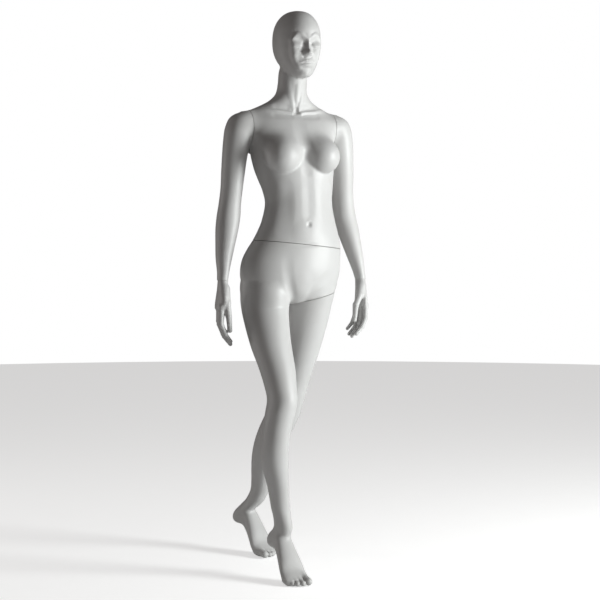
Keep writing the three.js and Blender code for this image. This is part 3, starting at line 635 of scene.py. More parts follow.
CHEST = (
    # Collarbones and the notch of the throat.
    Stroke(((17, 1503, 9, 4.5), (38, 1507, 8, 4.0), (72, 1511, 9, 3.6), (112, 1518, 10, 2.0),
            (132, 1517, 12, 0.5))),
    Stroke(((0, 1507, 11, -6.0), (0, 1517, 9, -3.6)), twin=False, edge=1.6),
    Stroke(((34, 1520, 15, -2.6), (64, 1524, 16, -2.2)), edge=1.6),
    Stroke(((24, 1491, 14, -1.5), (74, 1494, 16, -1.8))),
    # Neck tendons.
    Stroke(((9, 1512, 8, 2.0), (17, 1540, 11, 1.8), (32, 1590, 14, 1.2), (42, 1615, 14, 0.3))),
    Stroke(((0, 1545, 10, 1.2), (0, 1590, 12, 1.6)), twin=False),
    # Breastbone, ribs and the abdomen.
    Stroke(((0, 1490, 26, -0.6), (0, 1420, 30, -2.6), (0, 1350, 28, -3.0), (0, 1310, 22, -1.6)),
           twin=False, edge=1.4),
    Stroke(((40, 1298, 30, 0.6), (84, 1262, 34, 1.8)), edge=1.4),
    Stroke(((0, 1306, 24, -0.8), (0, 1240, 26, -1.3), (0, 1180, 26, -1.1), (0, 1155, 20, -0.2)),
           twin=False, edge=1.4),
    Stroke(((34, 1290, 32, 0.6), (35, 1230, 34, 1.3), (33, 1170, 34, 1.2), (28, 1110, 34, 0.4)), edge=1.4),
    Stroke(((72, 1262, 26, -1.2), (74, 1190, 28, -2.2), (80, 1120, 30, -1.4)), edge=1.5),
    Stroke(((0, 1137, 9, -5.5), (0, 1141, 8, -4.0)), twin=False, edge=1.5),
    Stroke(((0, 1149, 8, 1.2), (0, 1151, 7, 0.8)), twin=False),
    Stroke(((0, 1104, 60, 3.0), (0, 1060, 60, 3.0)), twin=False, edge=1.2),
)
GROIN = (
    # The right thigh steps forward of the belly, and the left one falls away from it.
    Stroke(((-28, 884, 18, -3.0), (-38, 912, 20, -3.6), (-48, 950, 22, -3.0), (-58, 990, 24, -1.8),
            (-64, 1032, 24, -0.4)), twin=False),
    Stroke(((-96, 890, 70, 1.6), (-104, 945, 72, 2.0), (-110, 1000, 70, 1.0)), twin=False),
    Stroke(((14, 896, 16, -2.0), (34, 926, 19, -2.4), (64, 952, 22, -2.2), (98, 974, 24, -1.4),
            (126, 990, 24, -0.4)), twin=False),
    Stroke(((-4, 950, 44, 2.6), (-4, 922, 32, 3.2)), twin=False),
    Stroke(((0, 1060, 70, 2.0), (0, 1015, 72, 2.0)), twin=False),
)
BACK = (
    Stroke(((0, 1520, 9, -1.5), (0, 1400, 11, -4.2), (0, 1250, 12, -5.2), (0, 1120, 14, -5.6),
            (0, 1060, 13, -3.0)), twin=False, edge=1.5),
    Stroke(((40, 1430, 34, 3.0), (70, 1400, 34, 4.5), (62, 1350, 26, 2.0))),
    Stroke(((34, 1474, 10, -2.0), (60, 1380, 12, -3.0), (72, 1340, 12, -1.5)), edge=1.4),
    Stroke(((28, 1250, 22, 3.0), (27, 1120, 22, 3.4))),
    Stroke(((32, 1052, 9, -2.6),), edge=1.4),
    Stroke(((0, 1020, 8, -3.0), (0, 985, 10, -7.0), (0, 930, 12, -10.0), (0, 890, 12, -8.0)),
           twin=False, edge=1.4),
    Stroke(((14, 884, 10, -4.0), (60, 872, 12, -5.0), (100, 884, 12, -2.0)), edge=1.4),
)


# ---- meshes --------------------------------------------------------------------------


def voxel_form(volume: Volume, voxel: float) -> bpy.types.Mesh:
    """Even mesh of a volume's rough form.

    Args:
        volume: The form.
        voxel: Grid size in millimetres.

    Returns:
        A new mesh in millimetres.
    """
    bm = bmesh.new()
    volume.rough(bm)
    bmesh.ops.recalc_face_normals(bm, faces=bm.faces[:])
    source = bpy.data.meshes.new("rough")
    bm.to_mesh(source)
    bm.free()
    holder = bpy.data.objects.new("rough", source)
    bpy.context.scene.collection.objects.link(holder)
    remesh = holder.modifiers.new("even", "REMESH")
    remesh.mode = "VOXEL"
    remesh.voxel_size = voxel
    remesh.adaptivity = 0
    graph = bpy.context.evaluated_depsgraph_get()
    result = bpy.data.meshes.new_from_object(holder.evaluated_get(graph))
    bpy.data.objects.remove(holder)
    bpy.data.meshes.remove(source)
    return result


def coordinates(mesh: bpy.types.Mesh) -> Points:
    """Vertex places of a mesh as an array."""
    co = np.empty(len(mesh.vertices) * 3)
    mesh.vertices.foreach_get("co", co)
    return co.reshape(-1, 3)


def settle(mesh: bpy.types.Mesh, volume: Volume, level: float = 0.0, rounds: int = 3) -> None:
    """Lays a mesh on a volume's surface, evening it out between rounds.

    Args:
        mesh: The mesh to move.
        volume: The form whose surface it takes.
        level: Distance from the surface, negative inside.
        rounds: How many times it is evened out and laid on again.
    """
    for turn in range(rounds):
        bm = bmesh.new()
        bm.from_mesh(mesh)
        for _ in range(3 if turn < rounds - 1 else 1):
            bmesh.ops.smooth_vert(
                bm, verts=bm.verts[:], factor=0.5, use_axis_x=True, use_axis_y=True, use_axis_z=True,
            )
        bm.to_mesh(mesh)
        bm.free()
        mesh.vertices.foreach_set("co", onto(coordinates(mesh), volume, level).ravel())
    mesh.update()


def onto(p: Points, volume: Volume, level: float = 0.0, steps: int = 6) -> Points:
    """Points moved along the slope of the distance onto a level of it."""
    h = 0.4
    for _ in range(steps):
        value = volume.distance(p) - level
        slope = np.stack([
            (volume.distance(p + h * axis) - level - value) / h for axis in np.eye(3)
        ], axis=1)
        steep = np.maximum((slope**2).sum(1), 0.05)
        move = slope * (value / steep)[:, None]
        size = np.linalg.norm(move, axis=1, keepdims=True)
        p = p - move * np.minimum(1, 4 / np.maximum(size, 1e-9))
    return p


def refine(mesh: bpy.types.Mesh, chosen: Callable[[Vector], bool]) -> None:
    """Halves the faces whose middle is chosen."""
    bm = bmesh.new()
    bm.from_mesh(mesh)
    edges = list({e for f in bm.faces if chosen(f.calc_center_median()) for e in f.edges})
    bmesh.ops.subdivide_edges(bm, edges=edges, cuts=1, use_grid_fill=True)
    bm.to_mesh(mesh)
    bm.free()


def carve(mesh: bpy.types.Mesh, reliefs: Iterable[Relief]) -> None:
    """Lays reliefs on a mesh, one after another."""
    for relief in reliefs:
        mesh.update()
        normals = np.empty(len(mesh.vertices) * 3)
        mesh.vertex_normals.foreach_get("vector", normals)
        places = coordinates(mesh)
        near = (places[:, 2] > relief.span[0]) & (places[:, 2] < relief.span[1])
        if near.any():
            places[near] = relief.apply(places[near], normals.reshape(-1, 3)[near])
        mesh.vertices.foreach_set("co", places.ravel())
    mesh.update()


@dataclass(frozen=True)
class Cut:
    """A seam plane.

    Attributes:
        point: A point on the plane, in millimetres.
        normal: Direction in which the kept piece lies.
        chosen: Which places the cut applies to.
        gap: Half the width of the seam.
    """

    point: Row
    normal: Row
    chosen: Callable[[Vector], bool] = lambda co: True
    gap: float = SEAM_HALF_GAP

    def apply(self, bm: bmesh.types.BMesh) -> None:
        """Cuts bm and drops what lies behind the plane."""
        faces = [f for f in bm.faces if self.chosen(f.calc_center_median())]
        verts = list({v for f in faces for v in f.verts})
        edges = list({e for f in faces for e in f.edges})
        normal = Vector(self.normal).normalized()
        bmesh.ops.bisect_plane(
            bm, geom=verts + edges + faces, plane_co=Vector(self.point) + normal * self.gap,
            plane_no=normal, clear_inner=True,
        )

    def holds(self, edge: bmesh.types.BMEdge) -> bool:
        """Whether an open edge lies on this plane."""
        normal = Vector(self.normal).normalized()
        level = Vector(self.point).dot(normal) + self.gap
        return all(
            abs(v.co.dot(normal) - level) < 0.05 and self.chosen(v.co) for v in edge.verts
        )

    def mouths(self, bm: bmesh.types.BMesh) -> list[list[bmesh.types.BMEdge]]:
        """Open loops on this seam, the longest last."""
        left = {e for e in bm.edges if e.is_boundary and self.holds(e)}
        loops = []
        while left:
            stack, loop = [left.pop()], []
            while stack:
                loop.append(stack.pop())
                linked = {e for v in loop[-1].verts for e in v.link_edges} & left
                left -= linked
                stack.extend(linked)
            loops.append(loop)
        return sorted(loops, key=lambda loop: sum(e.calc_length() for e in loop))

    def face_out(self, bm: bmesh.types.BMesh, faces: Sequence[bmesh.types.BMFace]) -> None:
        """Turns new faces on this seam away from the kept piece."""
        bm.normal_update()
        kept_side = Vector(self.normal)
        bmesh.ops.reverse_faces(bm, faces=[f for f in faces if f.normal.dot(kept_side) > 0])


def largest(bm: bmesh.types.BMesh) -> None:
    """Keeps only the largest connected stretch of faces."""
    seen: set = set()
    groups = []
    for start in bm.faces:
        if start in seen:
            continue
        seen.add(start)
        group, stack = [], [start]
        while stack:
            f = stack.pop()
            group.append(f)
            for e in f.edges:
                for g in e.link_faces:
                    if g not in seen:
                        seen.add(g)
                        stack.append(g)
        groups.append(group)
    groups.sort(key=len)
    for group in groups[:-1]:
        bmesh.ops.delete(bm, geom=group, context="FACES")


def shell_of(
    outer: bpy.types.Mesh, inner: bpy.types.Mesh, cuts: Sequence[Cut], name: str,
) -> bpy.types.Object:
    """Hollow shell between two skins, open at its seams with square rims.

    Args:
        outer: Outer skin in millimetres.
        inner: Inner skin in millimetres.
        cuts: The seams.
        name: Name of the piece.

    Returns:
        The finished object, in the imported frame.
    """
    bm = bmesh.new()
    for skin, flip in ((outer, False), (inner, True)):
        part = bmesh.new()
        part.from_mesh(skin)
        bmesh.ops.recalc_face_normals(part, faces=part.faces[:])
        for cut in cuts:
            cut.apply(part)
        largest(part)
        for cut in cuts:
            small = [e for loop in cut.mouths(part)[:-1] for e in loop]
            if small:
                cut.face_out(part, bmesh.ops.holes_fill(part, edges=small, sides=0)["faces"])
        if flip:
            bmesh.ops.reverse_faces(part, faces=part.faces[:])
        scratch = bpy.data.meshes.new("skin")
        part.to_mesh(scratch)
        part.free()
        bm.from_mesh(scratch)
        bpy.data.meshes.remove(scratch)
    rims = []
    for cut in cuts:
        open_edges = [e for e in bm.edges if e.is_boundary and cut.holds(e)]
        rims.extend(open_edges)
        cut.face_out(bm, bmesh.ops.bridge_loops(bm, edges=open_edges)["faces"])
    bmesh.ops.holes_fill(bm, edges=[e for e in bm.edges if e.is_boundary], sides=0)
    bmesh.ops.triangulate(bm, faces=[f for f in bm.faces if len(f.verts) > 4])
    bmesh.ops.recalc_face_normals(bm, faces=bm.faces[:])
    open_count = sum(1 for e in bm.edges if not e.is_manifold)
    if open_count:
        LOG.warning("%s: %d open edges", name, open_count)
    bmesh.ops.bevel(
        bm, geom=[e for e in rims if e.is_valid], offset=RIM_BEVEL, segments=2, profile=0.5, affect="EDGES",
        material=-1, clamp_overlap=True,
    )
    for f in bm.faces:
        f.smooth = True
    return placed(bm, name)


def placed(bm: bmesh.types.BMesh, name: str) -> bpy.types.Object:
    """Object from a mesh in body millimetres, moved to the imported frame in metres."""
    bmesh.ops.translate(bm, vec=Vector(-FRAME_SHIFT), verts=bm.verts[:])
    bmesh.ops.scale(bm, vec=Vector((MM, MM, MM)), verts=bm.verts[:])
    mesh = bpy.data.meshes.new(name)
    bm.to_mesh(mesh)
    bm.free()
    piece = bpy.data.objects.new(name, mesh)
    bpy.context.scene.collection.objects.link(piece)
    return piece


def bored(piece: bpy.types.Object, mouth: Row, facing: Row, radii: Row, depths: Row) -> None:
    """Cuts a stepped round bore into a piece.

    Args:
        piece: The piece, changed in place.
        mouth: Middle of the mouth in body millimetres.
        facing: Direction that the mouth faces.
        radii: Radius of the rim's room and of the bore.
        depths: Depth of the rim's room and of the bore.
    """
    bm = bmesh.new()
    steps = ((30.0, radii[0]), (-depths[0], radii[0]), (-depths[0], radii[1]), (-depths[1], radii[1]))
    previous = None
    for height, radius in steps:
        ring = bmesh.ops.create_circle(bm, cap_ends=False, radius=radius, segments=48)["verts"]
        bmesh.ops.translate(bm, vec=Vector((0, 0, height)), verts=ring)
        edges = list({e for v in ring for e in v.link_edges})
        if previous is None:
            bmesh.ops.contextual_create(bm, geom=edges)
        else:
            bmesh.ops.bridge_loops(bm, edges=previous + edges)
        previous = edges
    bmesh.ops.contextual_create(bm, geom=previous)
    turn = Vector(facing).to_track_quat("Z", "Y").to_matrix().to_4x4()
    bmesh.ops.transform(bm, matrix=Matrix.Translation(mouth) @ turn, verts=bm.verts[:])
    bmesh.ops.recalc_face_normals(bm, faces=bm.faces[:])
    subtract(piece, bm)


def subtract(piece: bpy.types.Object, bm: bmesh.types.BMesh) -> None:
    """Takes a solid, in body millimetres, away from a piece."""
    tool = placed(bm, "tool")
    cut = piece.modifiers.new("tool", "BOOLEAN")
    cut.operation = "DIFFERENCE"
    cut.solver = "EXACT"
    cut.object = tool
    graph = bpy.context.evaluated_depsgraph_get()
    result = bpy.data.meshes.new_from_object(piece.evaluated_get(graph))
    piece.modifiers.remove(cut)
    piece.data = result
    bpy.data.objects.remove(tool)


# ---- the figure's pieces -------------------------------------------------------------


@dataclass
class Piece:
    """One moulded piece of the figure.

    Attributes:
        name: Name of the finished object.
        node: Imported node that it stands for.
        body: Body that it rides on.
        voxel: Size of the outer skin's faces in millimetres.
        wall: Thickness of the moulding.
    """

    name: str
    node: str
    body: str
    voxel: float = 4.0
    wall: float = SHELL_WALL

    def outer(self) -> Volume:
        """Outside of the piece."""
        raise NotImplementedError

    def inner(self) -> Volume:
        """Form whose surface, moved in by the wall, is the inside."""
        return self.outer()

    def cuts(self) -> Sequence[Cut]:
        """The seams that bound it."""
        return ()

    def seams(self) -> Sequence[Cut]:
        """Every seam that its rims lie on."""
        return self.cuts()

    def reliefs(self) -> Sequence[Relief]:
        """Modelling laid on the skin."""
        return ()

    def zones(self) -> Sequence[Callable[[Vector], bool]]:
        """Places whose faces are halved, one after another."""
        return ()

    def build(self) -> bpy.types.Object:
        """Makes the hollow shell."""
        form = self.outer()
        skin = voxel_form(form, self.voxel)
        settle(skin, form)
        for zone in self.zones():
            refine(skin, zone)
            skin.vertices.foreach_set("co", onto(coordinates(skin), form, steps=3).ravel())
        carve(skin, self.reliefs())
        room = self.inner()
        lining = voxel_form(room, self.voxel * 1.8)
        settle(lining, room, level=-self.wall - 1.0, rounds=2)
        carve(lining, self.reliefs())
        return shell_of(skin, lining, self.cuts(), self.name)

    def finish(self, piece: bpy.types.Object, paint: bpy.types.Material) -> bpy.types.Object:
        """Dresses the shell and hands it to the frame."""
        mark_rims(piece, self.seams())
        piece.data.materials.clear()
        piece.data.materials.append(paint)
        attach(piece, self.body)
        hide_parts(self.node)
        LOG.info("%s: %d faces on %s", piece.name, len(piece.data.polygons), self.body)
        return piece


def mark_rims(piece: bpy.types.Object, cuts: Sequence[Cut]) -> None:
    """Stores how close each point is to a seam: 1 on it, and 0 beyond RIM_REACH."""
    co = coordinates(piece.data) / MM + FRAME_SHIFT
    near = np.full(len(co), 1e3)
    for cut in cuts:
        normal = np.array(Vector(cut.normal).normalized())
        away = np.abs((co - np.array(cut.point)) @ normal)
        inside = np.array([cut.chosen(Vector(c)) for c in co])
        near = np.where(inside, np.minimum(near, away), near)
    rim = piece.data.attributes.new("rim", "FLOAT", "POINT")
    rim.data.foreach_set("value", np.clip(1 - near / RIM_REACH, 0, 1))


TRUNK_AXIS = tuple((row[0], row[1]) for row in TRUNK)
HEAD_MIDDLE = ((0.0, HEAD_AXIS[0]), (2000.0, HEAD_AXIS[0]))


def breast_softness(p: Points) -> np.ndarray:
    """Wide blend above a breast and a tight fold below it."""
    return 7 + 40 * fade(p[:, 2], 1325, 1400)


def breast(side: Side) -> Ball:
    """One breast."""
    return Ball((side.value * 71 - 1, -59, 1360), (58, 61, 57))


def buttock(side: Side) -> Ball:
    """One buttock."""
    return Ball((side.value * 70 - 10, 52, 932), (86, 83, 88))


def shoulder(side: Side) -> Ball:
    """Cap of one shoulder."""
    return Ball((side.value * 155, SHOULDER_Y, SHOULDER_Z), (56, 48, 43))


def waist_cut(up: int) -> Cut:
    """Waist seam, kept above it for 1 and below it for -1."""
    return Cut((0, 0, WAIST_LEVEL), (-WAIST_SLOPE * up, 0, up))


def shoulder_cut(side: Side, outwards: int) -> Cut:
    """Shoulder seam of a side, kept outside it for 1 and inside it for -1."""
    sign = side.value
    return Cut(
        (sign * SHOULDER_SEAM, 0, 0), (sign * outwards, 0, 0),
        lambda co: co.x * sign > 60 and co.z > ARMPIT_LEVEL,
    )


@dataclass
class Torso(Piece):
    """Head, neck, chest and waist in one moulding."""

    name: str = "torso_moulding"
    node: str = "torso_shell"
    body: str = "torso"

    def outer(self) -> Volume:
        """Trunk, breasts, shoulders, head and the roots of the arms."""
        upper = [row for row in TRUNK if row[0] > 980]
        head = [(z, x + HEAD_AXIS[0], y + HEAD_AXIS[1], *rest) for z, x, y, *rest in HEAD]
        mask = [(z, x + HEAD_AXIS[0], y + HEAD_AXIS[1], *rest) for z, x, y, *rest in MASK]
        arms = [[row for row in rows if row[0] > 1290] for rows in (ARM, mirrored(ARM))]
        return Blend(
            [Loft(upper, 56), breast(Side.LEFT), breast(Side.RIGHT), shoulder(Side.LEFT),
             shoulder(Side.RIGHT), Loft(arms[0], 32), Loft(arms[1], 32), Loft(head, 48), Loft(mask, 56)],
            [breast_softness, breast_softness, 26, 26, 13, 13, 8, 5],
        )

    def cuts(self) -> Sequence[Cut]:
        """Waist and both shoulders."""
        return (waist_cut(1), shoulder_cut(Side.LEFT, -1), shoulder_cut(Side.RIGHT, -1))

    def reliefs(self) -> Sequence[Relief]:
        """Face, chest and back."""
        return (
            Relief(Facing.FRONT, TRUNK_AXIS, (1076, 1618), CHEST, push=0.35),
            Relief(Facing.BACK, TRUNK_AXIS, (1040, 1540), BACK, push=0.4),
            Relief(Facing.FRONT, HEAD_MIDDLE, (1619, 1800), FACE, push=0.9),
        )

    def zones(self) -> Sequence[Callable[[Vector], bool]]:
        """Front of the neck and face, then the features."""
        return (
            lambda co: co.y < 0 and co.z > 1490 and abs(co.x) < 100,
            lambda co: co.y < -40 and 1620 < co.z < 1766,
        )


@dataclass
class SupportingHalf(Piece):
    """Pelvis and the leg that stands."""

    name: str = "pelvis_and_right_leg_moulding"
    node: str = "pelvis_right_leg_shell"
    body: str = "supporting_half"

    def outer(self) -> Volume:
        """Hips, the whole right leg and foot, and the stub of the left thigh."""
        lower = [row for row in TRUNK if row[0] < 1160]
        stub = [row for row in LEFT_LEG if row[0] > 810]
        return Blend(
            [Loft(lower, 56), Loft(RIGHT_LEG, 40), Loft(stub, 40), buttock(Side.LEFT), buttock(Side.RIGHT),
             foot(Side.RIGHT, (-82, -38, 0), 2)],
            [16, 10, 12, 12, 14],
        )

    def inner(self) -> Volume:
        """The hollow stops above the ankle."""
        lower = [row for row in TRUNK if 920 < row[0] < 1160]
        stub = [row for row in LEFT_LEG if row[0] > 810]
        return Blend([Loft(lower, 40), Loft(RIGHT_LEG[4:], 32), Loft(stub, 32)], [16, 10])

    def cuts(self) -> Sequence[Cut]:
        """Waist; the thigh is taken off the closed shell."""
        return (waist_cut(-1),)

    def seams(self) -> Sequence[Cut]:
        """Waist and the left thigh."""
        thigh = Cut(
            (0, 0, THIGH_LEVEL), (-THIGH_SLOPE, 0, 1),
            lambda co: co.x > CROTCH_DIVIDE and THIGH_SPAN[0] < co.z < THIGH_SPAN[1],
        )
        return (*self.cuts(), thigh)

    def reliefs(self) -> Sequence[Relief]:
        """Groin, back of the hips, knee and foot."""
        return (
            Relief(Facing.FRONT, TRUNK_AXIS, (872, 1068), GROIN, push=0.6),
            Relief(Facing.BACK, TRUNK_AXIS, (850, 1068), BACK, push=0.6),
        )

    def zones(self) -> Sequence[Callable[[Vector], bool]]:
        """The toes."""
        return (lambda co: co.z < 60 and co.y < -140,)

    def build(self) -> bpy.types.Object:
        """Makes the shell, takes off the left thigh and bores the two sockets."""
        piece = super().build()
        wedge = bmesh.new()
        corners = [
            wedge.verts.new((x, y, z))
            for z in (0, 1) for x, y in ((CROTCH_DIVIDE, -300), (260, -300), (260, 300), (CROTCH_DIVIDE, 300))
        ]
        for corner in corners:
            top = THIGH_LEVEL + THIGH_SLOPE * corner.co.x + SEAM_HALF_GAP
            corner.co.z = top if corner.co.z > 0.5 else 700
        bmesh.ops.convex_hull(wedge, input=corners)
        subtract(piece, wedge)
        bored(piece, HEEL_SOCKET, (0, 0, -1), SOCKET_RADII, (SOCKET_FLANGE_DEPTH, HEEL_SOCKET_DEPTH))
        bored(piece, CALF_SOCKET, (0, 1, 0), SOCKET_RADII, (SOCKET_FLANGE_DEPTH, CALF_SOCKET_DEPTH))
        return piece


@dataclass
class LeftLeg(Piece):
    """The leg that lifts away."""

    name: str = "left_leg_moulding"
    node: str = "left_leg_shell"
    body: str = "left_leg"

    def outer(self) -> Volume:
        """Leg, foot and the part of the hips that swells at its seam."""
        lower = [row for row in TRUNK if 899 < row[0] < 1030]
        return Blend(
            [Loft(LEFT_LEG, 40), Loft(lower, 40), buttock(Side.LEFT), foot(Side.LEFT, (-18, 398, 1), 13)],
            [10, 12, 14],
        )

    def inner(self) -> Volume:
        """The hollow stops above the ankle."""
        return Loft(LEFT_LEG[4:], 32)

    def cuts(self) -> Sequence[Cut]:
        """Thigh."""
        return (Cut((0, 0, THIGH_LEVEL), (THIGH_SLOPE, 0, -1)),)

    def zones(self) -> Sequence[Callable[[Vector], bool]]:
        """The toes."""
        return (lambda co: co.z < 60 and co.y < 300,)


def foot(side: Side, at: Row, turn: float) -> Blend:
    """Raised foot with five toes.

    Args:
        side: Left or right.
        at: Place of the heel's axis, and the lift of the foot.
        turn: Turn about +Z in degrees.

    Returns:
        The foot in place.
    """
    place = Matrix.Translation(at) @ Matrix.Rotation(math.radians(turn), 4, "Z")
    toes = [
        Rod((-side.value * across, -126, radius + 9), radius + 1.5,
            (-side.value * (across + 1), -reach, radius + 1.5), radius)
        for across, reach, radius in TOES
    ]
    return Blend([Foot(side), Blend(toes, [2.5] * 4)], [9], place)


@dataclass
class Arm(Piece):
    """One arm from the shoulder seam to the wrist."""

    side: Side = Side.LEFT
    wall: float = LIMB_WALL
    voxel: float = 3.2

    def rows(self) -> Sequence[Row]:
        """Section rows of this side."""
        return ARM if self.side is Side.LEFT else mirrored(ARM)

    def outer(self) -> Volume:
        """Arm, shoulder cap and the edge of the chest."""
        chest = [row for row in TRUNK if 1290 < row[0] < 1540]
        return Blend([Loft(chest, 56), shoulder(self.side), Loft(self.rows(), 36)], [26, 13])

    def inner(self) -> Volume:
        """The hollow is the arm's own."""
        return Blend([Loft(self.rows(), 24), shoulder(self.side)], [20])

    def cuts(self) -> Sequence[Cut]:
        """Shoulder and wrist."""
        sign = self.side.value
        return (
            Cut((sign * SHOULDER_SEAM, 0, 0), (sign, 0, 0)),
            Cut((0, 0, WRIST_LEVEL), (0, 0, 1), lambda co: co.z < 1100, WRIST_HALF_GAP),
        )


@dataclass(frozen=True)
class Gesture:
    """How a hand is held, with x measured outwards from the figure.

    Attributes:
        lean: Outward lean of the knuckles.
        curl: Joints of the longest finger, outward and up from its knuckle.
        thumb: The thumb's joints with their radii.
    """

    lean: float
    curl: Sequence[Row]
    thumb: Sequence[Row]


GESTURES = {
    Side.RIGHT: Gesture(
        13, ((0, 0), (3, -58), (-10, -93), (-29, -118)),
        ((247, -2, 930, 15), (249, -20, 885, 12), (247, -30, 843, 9.5), (245, -34, 799, 7.5)),
    ),
    Side.LEFT: Gesture(
        -2, ((0, 0), (-4, -48), (-20, -80), (-44, -103)),
        ((243, -2, 935, 15), (227, -22, 905, 12), (209, -31, 872, 9.5), (202, -34, 823, 7)),
    ),
}


@dataclass
class Hand(Piece):
    """One hand with separate fingers."""

    side: Side = Side.LEFT
    voxel: float = 1.3

    def outer(self) -> Volume:
        """Palm, four fingers and the thumb."""
        gesture = GESTURES[self.side]
        sign = self.side.value
        rows = [
            (z, x + gesture.lean * min(1, max(0, (WRIST_LEVEL - z) / 90)), *rest) for z, x, *rest in PALM
        ]
        palm = Loft(rows if self.side is Side.LEFT else mirrored(rows), 28)
        fingers: list[Volume] = []
        for across, share, radius in FINGERS:
            x = 249 + gesture.lean - KNUCKLE_TURN * across
            joints = [
                (sign * (x + out * share), 6 + across - 4 * i * share, KNUCKLE_Z + up * share)
                for i, (out, up) in enumerate(gesture.curl)
            ]
            radii = (radius + 1.2, radius + 0.2, radius - 0.6, radius - 2.0)
            bones = [Rod(joints[i], radii[i], joints[i + 1], radii[i + 1]) for i in range(3)]
            fingers.append(Blend(bones, [1.5, 1.5]))
        thumb = [(sign * x, y, z) for x, y, z, _ in gesture.thumb]
        radii = [joint[3] for joint in gesture.thumb]
        bones = [Rod(thumb[i], radii[i], thumb[i + 1], radii[i + 1]) for i in range(3)]
        return Blend([palm, Blend(fingers, [1.5] * 3), Blend(bones, [5, 2])], [11, 9])

    def cuts(self) -> Sequence[Cut]:
        """Wrist."""
        return (Cut((0, 0, WRIST_LEVEL), (0, 0, -1), gap=WRIST_HALF_GAP),)

    def build(self) -> bpy.types.Object:
        """Makes the solid hand with a shallow recess in its wrist face."""
        form = self.outer()
        skin = voxel_form(form, self.voxel)
        settle(skin, form, rounds=2)
        bm = bmesh.new()
        bm.from_mesh(skin)
        self.cuts()[0].apply(bm)
        largest(bm)
        rim = [e for e in bm.edges if e.is_boundary]
        for e in rim:
            e.smooth = False
        face = bmesh.ops.contextual_create(bm, geom=rim)["faces"]
        bmesh.ops.inset_region(bm, faces=face, thickness=2.2, use_even_offset=True)
        bmesh.ops.translate(bm, vec=Vector((0, 0, -1.0)), verts=list(face[0].verts))
        bmesh.ops.triangulate(bm, faces=face)
        for f in bm.faces:
            f.smooth = True
        return placed(bm, self.name)


# ---- finishes ------------------------------------------------------------------------


class Nodes:
    """Short hand for building a shader tree."""

    def __init__(self, tree: bpy.types.NodeTree) -> None:
        """Keeps the tree."""
        self.tree = tree

    def add(self, kind: str, settings: dict | None = None, **inputs: object) -> bpy.types.Node:
        """New node with its settings and inputs.

        Args:
            kind: Node type.
            settings: Attributes of the node.
            **inputs: Input name with underscores for spaces, and a value or an output socket.

        Returns:
            The node.
        """
        node = self.tree.nodes.new(kind)
        for key, value in (settings or {}).items():
            setattr(node, key, value)
        for key, value in inputs.items():
            numbered = key[0] == "n" and key[1:].isdigit()
            socket = node.inputs[int(key[1:]) if numbered else key.replace("_", " ")]
            if isinstance(value, bpy.types.NodeSocket):
                self.tree.links.new(value, socket)
            else:
                socket.default_value = value
        return node

    def mix(self, factor: object, a: object, b: object) -> bpy.types.NodeSocket:
        """Colour between a and b."""
        node = self.add("ShaderNodeMix", {"data_type": "RGBA"}, n0=factor, n6=a, n7=b)
        return node.outputs[2]

    def math(self, operation: str, a: object, b: object = 0.0) -> bpy.types.NodeSocket:
        """Result of a sum."""
        return self.add("ShaderNodeMath", {"operation": operation, "use_clamp": False}, n0=a, n1=b).outputs[0]

    def span(
        self, value: object, low: float, high: float, to_low: float, to_high: float,
    ) -> bpy.types.NodeSocket:
        """Value mapped from one range to another."""
        node = self.add("ShaderNodeMapRange", None, Value=value, n1=low, n2=high, n3=to_low, n4=to_high)
        return node.outputs[0]


def surface_group() -> bpy.types.NodeTree:
    """Group of grain, cloudiness and fine marks that every finish shares."""
    group = bpy.data.node_groups.new("surface_grain", "ShaderNodeTree")
    inputs = {"Grain Scale": 900.0, "Cloud Scale": 9.0, "Mark Scale": 40.0, "Mark Amount": 0.3}
    for name, default in inputs.items():
        socket = group.interface.new_socket(name, in_out="INPUT", socket_type="NodeSocketFloat")
        socket.default_value = default
    for name in ("Grain", "Cloud", "Marks"):
        group.interface.new_socket(name, in_out="OUTPUT", socket_type="NodeSocketFloat")
    n = Nodes(group)
    given = n.add("NodeGroupInput").outputs
    place = n.add("ShaderNodeTexCoord").outputs["Object"]
    noise = "ShaderNodeTexNoise"
    grain = n.add(noise, None, Vector=place, Scale=given["Grain Scale"], Detail=3.0, Roughness=0.6)
    cloud = n.add(noise, None, Vector=place, Scale=given["Cloud Scale"], Detail=4.0, Roughness=0.55)
    stretch = n.add("ShaderNodeMapping", None, Vector=place, Rotation=(0.4, 0.9, 0.2), Scale=(1.0, 6.0, 1.6))
    marks = n.add(
        noise, None, Vector=stretch.outputs[0], Scale=given["Mark Scale"], Detail=5.0, Roughness=0.7,
    )
    few = n.span(marks.outputs[0], 0.62, 0.74, 0.0, 1.0)
    out = n.add("NodeGroupOutput")
    group.links.new(grain.outputs[0], out.inputs["Grain"])
    group.links.new(cloud.outputs[0], out.inputs["Cloud"])
    group.links.new(n.math("MULTIPLY", few, given["Mark Amount"]), out.inputs["Marks"])
    return group


Colour = tuple[float, float, float, float]


